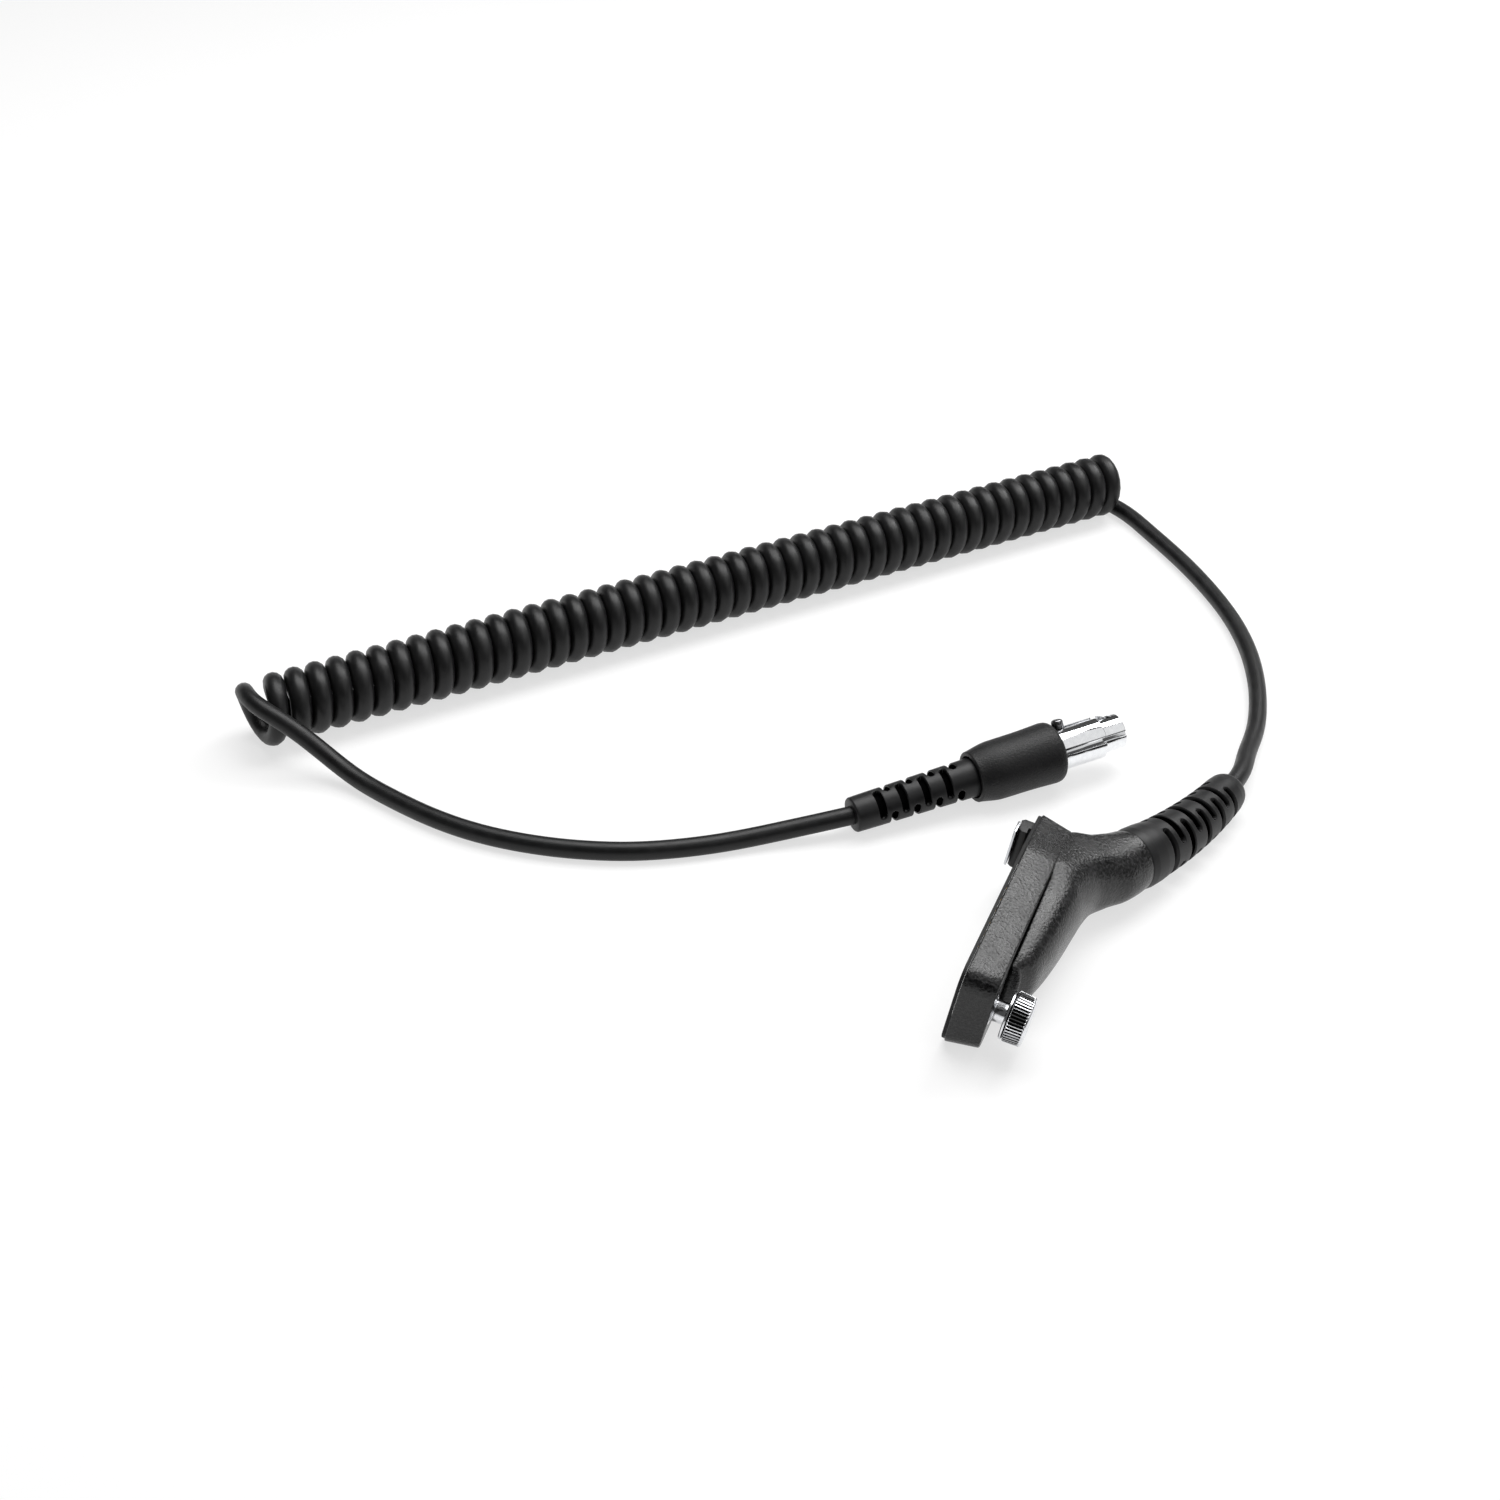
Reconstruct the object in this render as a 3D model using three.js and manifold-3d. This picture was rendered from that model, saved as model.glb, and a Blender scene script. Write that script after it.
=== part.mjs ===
// Coiled adaptor cable for a two-way radio: a side connector with a hook and a captive
// thumbscrew, a curly cord between two straight leads, and a small round locking plug.
// Millimetres, +Z up. The cable lies on a table at z = 0. The origin is under the middle
// of the side connector, which lies on its side edge with its mating face turned away.
import * as THREE from 'three';
import { mergeVertices } from 'three/addons/utils/BufferGeometryUtils.js';
import Module from 'manifold-3d';

const wasm = await Module();
wasm.setup();

// ---------- driving dimensions ----------

const SEAT = 0.3;                 // gap between pieces that rest on each other
const CORD_D = 4.4;               // jacket of the cord
const CORD_R = CORD_D / 2;

// side connector, in its own frame: x along the plate from the screw end to the hook end,
// y across it, z from the mating face to the back
const PLATE_LENGTH = 59.8;
const PLATE_HALF = 10.2;          // half width of the straight sides
const PLATE_THICK = 7.0;
const PLATE_CORNER = 3.8;         // corner radius at the screw end
const SHOULDER_X = 43.5;          // where the sides start to draw in
const SHOULDER_HALF = 7.5;        // half width at the hook end
const SHOULDER_ROUND = 1.2;
const END_DRAFT = 1.05;           // both ends slope in towards the back by this much
const SIDE_DRAFT = 0.8;           // the same, for the sides
const PLATE_WALL = 1.8;

const GASKET_THICK = 0.45;
const GASKET_INSET = 0.35;        // from the plate's edge to the gasket's edge
const GASKET_WIDTH = 0.9;

const PIN_COLUMNS = 6;
const PIN_ROWS = 2;
const PIN_PITCH_X = 4.0;
const PIN_PITCH_Y = 4.6;
const PIN_D = 1.5;
const PIN_PROUD = 0.75;           // how far a tip stands out of the block
const PIN_TRAVEL = 0.7;
const PIN_CLEAR = 0.3;            // gap round a pin in its hole
const BLOCK_X = 28.5;             // middle of the contact block along the plate
const BLOCK_BORDER = 2.0;         // plastic outside the outermost pins
const BLOCK_PROUD = 0.2;
const BOARD_THICK = 1.0;

const HOOK_X = 54.0;              // near end of the hook's block
const HOOK_LENGTH = 4.2;
const HOOK_HALF = 5.2;
const HOOK_PROUD = 3.9;
const HOOK_FOOT = 2.4;            // length of the foot under the overhang
const HOOK_UNDERCUT = 1.3;        // height of the gap under the overhang
const CATCH_HALF = 4.9;
const CATCH_THICK = 0.6;
const CATCH_REACH = 0.6;          // how far the steel catch passes the overhang
const CATCH_PROUD = 0.4;          // and how far it stands out of the block
const CATCH_STEM = 2.0;
const CATCH_STEM_HALF = 3.6;

const SCREW_X = 5.4;              // thumbscrew axis from the screw end
const HEAD_R = 5.3;
const HEAD_TIP_R = 5.1;
const HEAD_LENGTH = 4.8;
const HEAD_GAP = 2.7;             // open gap between the plate and the backed-out head
const HEAD_BAND = 0.8;            // plain band at each end of the knurl
const KNURLS = 36;
const KNURL_DEPTH = 0.22;
const NECK_R = 2.3;               // the neck slides in the bush
const SHANK_R = 1.7;
const SHANK_CLEAR = 0.3;
const BUSH_WALL = 0.7;
const CLIP_THICK = 0.5;
const CLIP_R = 2.8;

const HOUSING_WALL = 1.7;
// The rear housing along its length: its lower and its upper middle point, as [x, z] with z
// from the plate's back, and its half width at the widest place. Past SHOULDER_X its sides
// go on in the planes of the plate's shoulders, up to a ridge.
const HOUSING_LOW = [
  [12.6, 0], [15, 0], [20, 0], [30, 0], [38, 0], [43.5, 0], [50.5, 0], [57.6, 0.1], [60.6, 3.2], [64.2, 5.6],
];
const HOUSING_HIGH = [
  [13.2, 2.9], [15.4, 5.2], [20.2, 6.6], [30, 8.1], [37.4, 8.8], [41.6, 9.3], [46.6, 10.5], [51, 13.5],
  [54.6, 16.7], [58, 18.6],
];
const HOUSING_HALF = [6.2, 7, 7.8, 8.8, 9.3, 9.4, 8.5, 7.7, 7.1, 6.75];
const NECK_ANGLE = 30;            // cord exit, in degrees from the plate towards the back
const COLLAR_R = 6.9;             // radius where the housing meets the strain relief
const COLLAR_X = 64.2;            // middle of that joint
const COLLAR_Z = 20.5;

const RELIEF_LENGTH = 41;
const RELIEF_TIP_R = 4.7;
const RELIEF_CORE_R = 3.3;
const RELIEF_END_ANGLE = 12;      // the relief bends back to this angle
const RELIEF_COLLAR = 8.0;        // smooth stretch before the first slot
const RELIEF_SLOTS = 9;
const RELIEF_SLOT_PITCH = 3.15;
const RELIEF_SLOT_WIDTH = 1.8;
const RELIEF_SLOT_SPAN = 110;     // degrees round the relief
const RELIEF_SLOT_TURN = 57;      // middle of the first pair, from the side edge towards the back
const SPIGOT_R = 4.4;
const SPIGOT_LENGTH = 4.0;
const CRIMP_LENGTH = 4.0;

const CONNECTOR_AT = [-36.0, -39.2];  // on the table, under the frame's zero point
const HEADING = 67.8;             // direction of the plate on the table, from +X
const LEAN = 10;                  // the plate lies on its drafted long side, leaning by this
const HOOK_RISE = 0.3;            // and its hook end stands up by this

// curly cord; its axis runs level over the table, from the plug's lead to the connector's
const COIL_PITCH = 5.18;
const COIL_OUTER_R = 8.7;
const COIL_TURNS = 47;            // evenly wound turns
const COIL_LOOSE_PITCH = 7.4;     // the one turn by the plug's lead is looser
const COIL_HEADING = 28.24;       // direction of its axis on the table
const COIL_START = [-188.7, 70.55];   // on the table, under the first even turn's top
const STEPS_PER_TURN = 8;
const COIL_SIDES = 5;
const COIL_TAIL = CORD_D;         // straight end of the winding

// straight leads; their routes are points on the table with their height
const LEAD_SIDES = 10;
const LEAD_STEP = 9.5;            // longest step of a lead's tube
const LEAD_STRAIGHT = 6;          // straight run out of a strain relief
const LEAD_REST = CORD_R + 0.05;  // height of a lead's middle line on the table
const CONNECTOR_LEAD_ROUTE = [
  [42.7, 59.9, 3.3], [46.7, 69.7, 2.3], [49.9, 81.7, LEAD_REST], [51.9, 94.7, LEAD_REST],
  [52.5, 106.7, LEAD_REST], [51.8, 118.7, LEAD_REST], [49.9, 130.2, LEAD_REST], [47.2, 141.2, LEAD_REST],
  [43.8, 152.2, LEAD_REST], [39.9, 162.7, LEAD_REST], [35.9, 172.7, LEAD_REST],
];
const PLUG_LEAD_ROUTE = [
  [-189.3, 61.2, 14.9], [-185.3, 60.1, 13.0], [-180.7, 58.1, 9.6], [-175.5, 55.3, 6.2],
  [-168.1, 50.2, 3.2], [-157.6, 42.3, LEAD_REST], [-147.7, 35.3, LEAD_REST], [-136.3, 29.3, LEAD_REST],
  [-123.7, 25.2, LEAD_REST], [-111.2, 23.1, LEAD_REST], [-98.7, 22.9, LEAD_REST], [-86.7, 24.7, LEAD_REST],
  [-75.7, 27.4, 2.4], [-66.7, 29.8, 3.1],
];

// plug, in its own frame: x from the boot's rear to the nose, y left, z up
const PLUG_AT = [-52.4, 32.9];   // under the boot's rear
const PLUG_HEADING = 23.2;
const BOOT_LENGTH = 30.5;
const BOOT_REAR_R = 4.1;
const BOOT_FRONT_R = 4.7;
const BOOT_CORE_R = 3.0;
const BOOT_REAR_COLLAR = 6.2;     // to the middle of the first slot
const BOOT_SLOTS = 8;
const BOOT_SLOT_PITCH = 2.8;
const BOOT_SLOT_WIDTH = 1.7;
const BOOT_SLOT_SPAN = 104;       // degrees round the boot
const BOOT_SLOT_TURN = -47;       // middle of the first pair of slots, from +y towards +z
const BOOT_TAIL = 5;              // part of the boot inside the cover
const COVER_LENGTH = 22.0;
const COVER_REAR_R = 6.0;
const COVER_R = 7.3;
const COVER_WIDEST = 20;          // from the cover's rear
const COVER_WALL = 1.4;
const SHELL_R = 5.0;              // rear section of the metal shell
const NOSE_R = 4.2;               // front section
const SHELL_REAR = 11.4;          // length of the rear section in front of the cover
const NOSE_LENGTH = 5.6;
const SHELL_TAIL = 9;             // length inside the cover
const SHELL_WALL = 0.6;
const INSERT_RECESS = 0.8;
const SOCKETS = 5;
const SOCKET_RING_R = 1.9;
const SOCKET_R = 0.6;
const SOCKET_BORE_R = 0.3;
const KEY_WIDTH = 1.5;            // keyway along the shell's rear section
const KEY_NOSE_WIDTH = 1.0;
const KEY_DEPTH = 0.35;
const KEY_ANGLE = 64;             // round the axis, from the top towards -y
const LATCH_ANGLE = -28;          // the same, for the latch
const LATCH_WIDTH = 2.0;
const LATCH_THICK = 0.45;
const LATCH_CLEAR = 0.3;
const LATCH_REAR = 5;             // length of the tongue inside the cover
const LATCH_NOSE = 14.2;          // from the cover's front to the tongue's end
const LATCH_TRAVEL = 3.2;         // degrees
const NIB_HIGH = 0.75;
const NIB_LENGTH = 1.4;
const BUTTON_R = 1.35;
const BUTTON_HIGH = 2.3;
const BUTTON_SEAT = 2.1;          // from the cover's front to the button's middle

// ---------- materials ----------

function plastic(colour, roughness) {
  return new THREE.MeshStandardMaterial({ color: colour, roughness, metalness: 0 });
}
function metal(colour, roughness) {
  return new THREE.MeshStandardMaterial({ color: colour, roughness, metalness: 1 });
}
const paint = {
  housing: () => plastic(0x232325, 0.6),
  rubber: () => plastic(0x1d1d1f, 0.7),
  jacket: () => plastic(0x1b1b1d, 0.5),
  insulator: () => plastic(0x141415, 0.45),
  board: () => plastic(0x1f4a2c, 0.5),
  chrome: () => metal(0xd8dadd, 0.08),
  darkChrome: () => metal(0x77797d, 0.15),
  steel: () => metal(0xb9bbbe, 0.3),
  gold: () => metal(0xd9b25a, 0.25),
  brass: () => metal(0xb99a55, 0.35),
};

// ---------- solid helpers ----------

const TAU = Math.PI * 2;
const HALF_TURN = 180;
const rad = THREE.MathUtils.degToRad;

function solid(geometry) {
  const bare = geometry.clone();
  for (const name of Object.keys(bare.attributes)) {
    if (name !== 'position') bare.deleteAttribute(name);
  }
  const merged = mergeVertices(bare, 1e-4);
  return new wasm.Manifold(new wasm.Mesh({
    numProp: 3,
    vertProperties: new Float32Array(merged.attributes.position.array),
    triVerts: new Uint32Array(merged.index.array),
  }));
}

function geometryOf(manifold) {
  const cut = manifold.getMesh();
  const geometry = new THREE.BufferGeometry();
  geometry.setAttribute('position', new THREE.BufferAttribute(cut.vertProperties, 3));
  geometry.setIndex(new THREE.BufferAttribute(cut.triVerts, 1));
  geometry.computeVertexNormals();
  return geometry;
}

function cutAway(body, tools) {
  let result = solid(body);
  for (const tool of tools) result = result.subtract(solid(tool));
  return geometryOf(result);
}

function joined(pieces) {
  let result = solid(pieces[0]);
  for (const piece of pieces.slice(1)) result = result.add(solid(piece));
  return geometryOf(result);
}

// A closed skin over rings of points, each ring with the same number of points.
// The rings follow each other along the body and turn counter-clockwise seen from its end.
function loft(rings) {
  const sides = rings[0].length;
  const points = rings.flat();
  const faces = [];
  for (let i = 0; i + 1 < rings.length; i += 1) {
    for (let k = 0; k < sides; k += 1) {
      const a = i * sides + k;
      const b = i * sides + (k + 1) % sides;
      faces.push(a, b, b + sides, a, b + sides, a + sides);
    }
  }
  const last = (rings.length - 1) * sides;
  for (const [start, flip] of [[0, true], [last, false]]) {
    const ring = points.slice(start, start + sides);
    for (const [a, b, c] of capFaces(ring)) {
      faces.push(start + a, start + (flip ? c : b), start + (flip ? b : c));
    }
  }
  const geometry = new THREE.BufferGeometry().setFromPoints(points);
  geometry.setIndex(faces);
  geometry.computeVertexNormals();
  return geometry;
}

// Triangles over a flat ring, turned the way the ring turns.
function capFaces(ring) {
  const normal = new THREE.Vector3();
  ring.forEach((p, i) => {
    const q = ring[(i + 1) % ring.length];
    normal.x += (p.y - q.y) * (p.z + q.z);
    normal.y += (p.z - q.z) * (p.x + q.x);
    normal.z += (p.x - q.x) * (p.y + q.y);
  });
  const flat = new THREE.Quaternion().setFromUnitVectors(normal.normalize(), new THREE.Vector3(0, 0, 1));
  const outline = ring.map((p) => {
    const q = p.clone().applyQuaternion(flat);
    return new THREE.Vector2(q.x, q.y);
  });
  return THREE.ShapeUtils.triangulateShape(outline, []);
}

// A lathe body along +x, from [x, radius] pairs; pairs off the axis are closed to it.
function turnedX(profile, sides) {
  const points = profile.map(([x, r]) => new THREE.Vector2(r, x));
  if (points[0].x > 0) points.unshift(new THREE.Vector2(0, points[0].y));
  if (points[points.length - 1].x > 0) points.push(new THREE.Vector2(0, points[points.length - 1].y));
  return new THREE.LatheGeometry(points, sides).rotateZ(-Math.PI / 2);
}

// The same along +z, which may be a ring when its profile closes on itself.
function turnedZ(profile, sides) {
  const points = profile.map(([z, r]) => new THREE.Vector2(r, z));
  if (points[0].x > 0 && !points[0].equals(points[points.length - 1])) {
    points.unshift(new THREE.Vector2(0, points[0].y));
    points.push(new THREE.Vector2(0, points[points.length - 1].y));
  }
  return new THREE.LatheGeometry(points, sides).rotateX(Math.PI / 2);
}

function box(x0, x1, y0, y1, z0, z1) {
  return new THREE.BoxGeometry(x1 - x0, y1 - y0, z1 - z0)
    .translate((x0 + x1) / 2, (y0 + y1) / 2, (z0 + z1) / 2);
}

function roundedSlab(halfX, halfY, corner, z0, z1, x = 0, y = 0) {
  const shape = new THREE.Shape();
  shape.moveTo(-halfX + corner, -halfY);
  shape.absarc(halfX - corner, -halfY + corner, corner, -Math.PI / 2, 0);
  shape.absarc(halfX - corner, halfY - corner, corner, 0, Math.PI / 2);
  shape.absarc(-halfX + corner, halfY - corner, corner, Math.PI / 2, Math.PI);
  shape.absarc(-halfX + corner, -halfY + corner, corner, Math.PI, Math.PI * 1.5);
  const slab = new THREE.ExtrudeGeometry(shape, { depth: z1 - z0, bevelEnabled: false, curveSegments: 4 });
  return slab.translate(x, y, z0);
}

// A band of a ring round the x axis, from inner to outer radius, over a span of degrees.
function ringBand(x0, x1, inner, outer, middle, span, steps = 4) {
  const shape = new THREE.Shape();
  const from = rad(middle - span / 2);
  const to = rad(middle + span / 2);
  shape.absarc(0, 0, outer, from, to, false);
  shape.absarc(0, 0, inner, to, from, true);
  const band = new THREE.ExtrudeGeometry(shape, { depth: x1 - x0, bevelEnabled: false, curveSegments: steps });
  // shape x becomes y, shape y becomes z, depth becomes x
  band.applyMatrix4(new THREE.Matrix4().set(0, 0, 1, x0, 1, 0, 0, 0, 0, 1, 0, 0, 0, 0, 0, 1));
  return band;
}

function part(name, geometry, material, group) {
  const mesh = new THREE.Mesh(geometry, material);
  mesh.name = name;
  group.add(mesh);
  return mesh;
}

// ---------- side connector ----------

// Outline of the plate, counter-clockwise, moved in by its own amount at the ends and sides.
function plateOutline(endInset, sideInset, z) {
  const half = PLATE_HALF - sideInset;
  const tipHalf = SHOULDER_HALF - sideInset;
  const low = endInset;
  const high = PLATE_LENGTH - endInset;
  const corner = Math.min(PLATE_CORNER, half - 0.5);
  const round = SHOULDER_ROUND;
  const shape = new THREE.Shape();
  shape.absarc(low + corner, -half + corner, corner, Math.PI, Math.PI * 1.5);
  shape.lineTo(SHOULDER_X, -half);
  shape.lineTo(high - round, -tipHalf);
  shape.lineTo(high, -tipHalf + round);
  shape.lineTo(high, tipHalf - round);
  shape.lineTo(high - round, tipHalf);
  shape.lineTo(SHOULDER_X, half);
  shape.absarc(low + corner, half - corner, corner, Math.PI / 2, Math.PI);
  const points = shape.getPoints(5);
  if (points[0].distanceTo(points[points.length - 1]) < 1e-6) points.pop();
  return points.map((p) => new THREE.Vector3(p.x, p.y, z));
}

const blockHalfX = (PIN_COLUMNS - 1) / 2 * PIN_PITCH_X + BLOCK_BORDER;
const blockHalfY = (PIN_ROWS - 1) / 2 * PIN_PITCH_Y + BLOCK_BORDER;
const boardZ = PLATE_WALL + 1.6;
const bushR = NECK_R + SHANK_CLEAR + BUSH_WALL;
const screwTravel = HEAD_GAP - SEAT;
const clipSeatZ = screwTravel + CLIP_THICK;
const neckZ = PLATE_THICK - SEAT;   // low end of the neck, with the screw backed out

function makePlate() {
  const body = loft([
    plateOutline(0, 0, 0),
    plateOutline(END_DRAFT, SIDE_DRAFT, PLATE_THICK),
  ]);
  const pocketHalfX = blockHalfX + 1.6;
  const pocket = roundedSlab(
    pocketHalfX, PLATE_HALF - SIDE_DRAFT - PLATE_WALL, 1.5, PLATE_WALL, PLATE_THICK + 1, BLOCK_X,
  );
  const window = roundedSlab(
    blockHalfX + SEAT, blockHalfY + SEAT, 1.2 + SEAT, -1, PLATE_THICK, BLOCK_X,
  );
  const bushHole = turnedZ([[clipSeatZ, bushR + SEAT], [PLATE_THICK + 1, bushR + SEAT]], 24)
    .translate(SCREW_X, 0, 0);
  const clipHole = turnedZ([[-1, CLIP_R + SEAT], [clipSeatZ + 0.5, CLIP_R + SEAT]], 24)
    .translate(SCREW_X, 0, 0);
  return cutAway(body, [pocket, window, bushHole, clipHole]);
}

function makeGasket() {
  const outer = loft([
    plateOutline(GASKET_INSET, GASKET_INSET, -SEAT - GASKET_THICK),
    plateOutline(GASKET_INSET, GASKET_INSET, -SEAT),
  ]);
  const inset = GASKET_INSET + GASKET_WIDTH;
  const inner = loft([
    plateOutline(inset, inset, -SEAT - GASKET_THICK - 1),
    plateOutline(inset, inset, -SEAT + 1),
  ]);
  return cutAway(outer, [inner]);
}

function pinSpots() {
  const spots = [];
  for (let i = 0; i < PIN_COLUMNS; i += 1) {
    for (let j = 0; j < PIN_ROWS; j += 1) {
      const x = BLOCK_X + (i - (PIN_COLUMNS - 1) / 2) * PIN_PITCH_X;
      const y = (j - (PIN_ROWS - 1) / 2) * PIN_PITCH_Y;
      spots.push([x, y]);
    }
  }
  return spots;
}

function makeContactBlock() {
  const body = joined([
    roundedSlab(blockHalfX, blockHalfY, 1.2, -BLOCK_PROUD, boardZ - SEAT, BLOCK_X),
    roundedSlab(blockHalfX + 1.1, blockHalfY + 1.1, 1.2, PLATE_WALL + SEAT, boardZ - SEAT, BLOCK_X),
  ]);
  const holes = pinSpots().map(([x, y]) => new THREE.CylinderGeometry(
    PIN_D / 2 + PIN_CLEAR, PIN_D / 2 + PIN_CLEAR, 10, 8,
  ).rotateX(Math.PI / 2).translate(x, y, 0));
  return cutAway(body, holes);
}

function makePin() {
  const tip = -BLOCK_PROUD - PIN_PROUD;
  const rear = boardZ - SEAT - PIN_TRAVEL;
  const r = PIN_D / 2;
  return turnedZ([[tip, 0], [tip + 0.12, r * 0.6], [tip + 0.5, r], [rear, r], [rear, 0]], 8);
}

function makeHookBlock() {
  const end = HOOK_X + HOOK_LENGTH;
  const side = new THREE.Shape();
  side.moveTo(end - HOOK_FOOT, -SEAT);
  side.lineTo(end, -SEAT);
  side.lineTo(end, -HOOK_PROUD + 0.6);
  side.lineTo(end - 0.6, -HOOK_PROUD);
  side.lineTo(HOOK_X + 0.9, -HOOK_PROUD);
  side.lineTo(HOOK_X, -HOOK_PROUD + 1.1);
  side.lineTo(HOOK_X, -SEAT - HOOK_UNDERCUT);
  side.lineTo(end - HOOK_FOOT, -SEAT - HOOK_UNDERCUT);
  side.closePath();
  const body = new THREE.ExtrudeGeometry(side, { depth: HOOK_HALF * 2, bevelEnabled: false })
    .rotateX(Math.PI / 2).translate(0, HOOK_HALF, 0);
  const catchGap = CATCH_HALF + SEAT;
  const stemGap = CATCH_STEM_HALF + SEAT;
  const groove = box(
    HOOK_X - 1, catchEnd + SEAT, -catchGap, catchGap, -HOOK_PROUD - 1, catchZ + CATCH_THICK + SEAT,
  );
  const stem = box(
    stemX - SEAT, stemX + CATCH_THICK + SEAT, -stemGap, stemGap, -HOOK_PROUD - 1,
    catchZ + CATCH_STEM + SEAT,
  );
  return cutAway(body, [groove, stem]);
}

// The catch is a steel strip on the block, over the overhang, with a stem in the block's foot.
const stemX = HOOK_X + HOOK_LENGTH - HOOK_FOOT / 2 - CATCH_THICK / 2;
const catchEnd = stemX + CATCH_THICK;
const catchZ = -HOOK_PROUD - CATCH_PROUD;

function makeCatch() {
  return joined([
    box(HOOK_X - CATCH_REACH, catchEnd, -CATCH_HALF, CATCH_HALF, catchZ, catchZ + CATCH_THICK),
    box(stemX, catchEnd, -CATCH_STEM_HALF, CATCH_STEM_HALF, catchZ, catchZ + CATCH_STEM),
  ]);
}

// The thumbscrew stands at z = 0 with its plate side down.
const headZ = PLATE_THICK + HEAD_GAP;

function makeThumbscrew() {
  const end = headZ + HEAD_LENGTH;
  const chamfer = 0.45;
  const core = turnedZ([
    [SEAT, 0], [SEAT, SHANK_R - 0.5], [SEAT + 0.5, SHANK_R], [neckZ, SHANK_R], [neckZ, NECK_R],
    [headZ, NECK_R], [headZ, HEAD_R - chamfer], [headZ + chamfer, HEAD_R], [headZ + HEAD_BAND, HEAD_R],
    [headZ + HEAD_BAND, HEAD_R - KNURL_DEPTH], [end - HEAD_BAND, HEAD_TIP_R - KNURL_DEPTH],
    [end - HEAD_BAND, HEAD_TIP_R], [end - chamfer, HEAD_TIP_R], [end, HEAD_TIP_R - chamfer],
    [end, HEAD_TIP_R - 1.4], [end - 0.3, HEAD_TIP_R - 1.8], [end - 0.3, 0],
  ], 32);
  const crest = [];
  for (const [z, r] of [[headZ + HEAD_BAND - 0.01, HEAD_R], [end - HEAD_BAND + 0.01, HEAD_TIP_R]]) {
    const ring = [];
    for (let i = 0; i < KNURLS * 2; i += 1) {
      const radius = i % 2 ? r - KNURL_DEPTH * 1.1 : r;
      const angle = TAU * i / (KNURLS * 2);
      ring.push(new THREE.Vector3(radius * Math.cos(angle), radius * Math.sin(angle), z));
    }
    crest.push(ring);
  }
  return joined([core, loft(crest)]);
}

function makeClip() {
  const z0 = clipSeatZ - CLIP_THICK;
  const inner = SHANK_R + SEAT;
  return turnedZ([
    [z0, inner], [z0, CLIP_R], [clipSeatZ - SEAT / 3, CLIP_R], [clipSeatZ - SEAT / 3, inner], [z0, inner],
  ], 16);
}

function makeBush() {
  const low = clipSeatZ + SEAT;
  const ledge = neckZ - screwTravel - SEAT;
  return turnedZ([
    [low, SHANK_R + SHANK_CLEAR], [low, bushR], [PLATE_THICK, bushR], [PLATE_THICK, NECK_R + SHANK_CLEAR],
    [ledge, NECK_R + SHANK_CLEAR], [ledge, SHANK_R + SHANK_CLEAR], [low, SHANK_R + SHANK_CLEAR],
  ], 24);
}

const exitDir = new THREE.Vector3(Math.cos(rad(NECK_ANGLE)), 0, Math.sin(rad(NECK_ANGLE)));
const exitUp = new THREE.Vector3(-exitDir.z, 0, exitDir.x);
const exitAt = new THREE.Vector3(COLLAR_X, 0, COLLAR_Z);
const housingZ = PLATE_THICK + SEAT;

// Shape of each of the housing's rings: how square its lower and upper parts are (2 is
// round), how high up it is widest, how much narrower its foot is there, as shares, and the
// slope in degrees with which its upper part sets off from the ridge.
const HOUSING_SHAPE = [
  [5, 2.6, 0.2, 0, 0], [5, 2.6, 0.18, 0, 0], [5, 2.6, 0.16, 0, 0], [6, 2.6, 0.14, 0, 0],
  [6, 2.6, 0.14, 0, 0], [7, 2.5, 0.16, 0, 8], [9, 2.3, 0.4, 0.03, 14], [9, 2.2, 0.56, 0.08, 14],
  [7, 2.1, 0.52, 0.07, 9], [3.4, 2, 0.5, 0.02, 4], [2.1, 2, 0.5, 0, 0], [2, 2, 0.5, 0, 0],
];

// The rings' middle lines and sizes, drawn in by a wall's thickness for the hollow.
function housingStations(inset) {
  const neck = [-COLLAR_R * 0.25, 0].map((s) => {
    const middle = exitAt.clone().addScaledVector(exitDir, s);
    return {
      low: middle.clone().addScaledVector(exitUp, -COLLAR_R),
      high: middle.clone().addScaledVector(exitUp, COLLAR_R),
      half: COLLAR_R,
    };
  });
  const body = HOUSING_LOW.map(([x, z], i) => ({
    low: new THREE.Vector3(x, 0, housingZ + z),
    high: new THREE.Vector3(HOUSING_HIGH[i][0], 0, PLATE_THICK + HOUSING_HIGH[i][1]),
    half: HOUSING_HALF[i],
  }));
  return [...body, ...neck].map(({ low, high, half }, i) => {
    const up = high.clone().sub(low);
    const tall = up.length();
    up.normalize();
    const [lowPower, highPower, waist, foot, slope] = HOUSING_SHAPE[i];
    return {
      from: low.clone().addScaledVector(up, inset),
      up,
      tall: tall - inset * 2,
      half: half - inset,
      lowPower,
      highPower,
      waist,
      foot,
      slope: rad(slope),
    };
  });
}

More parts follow.
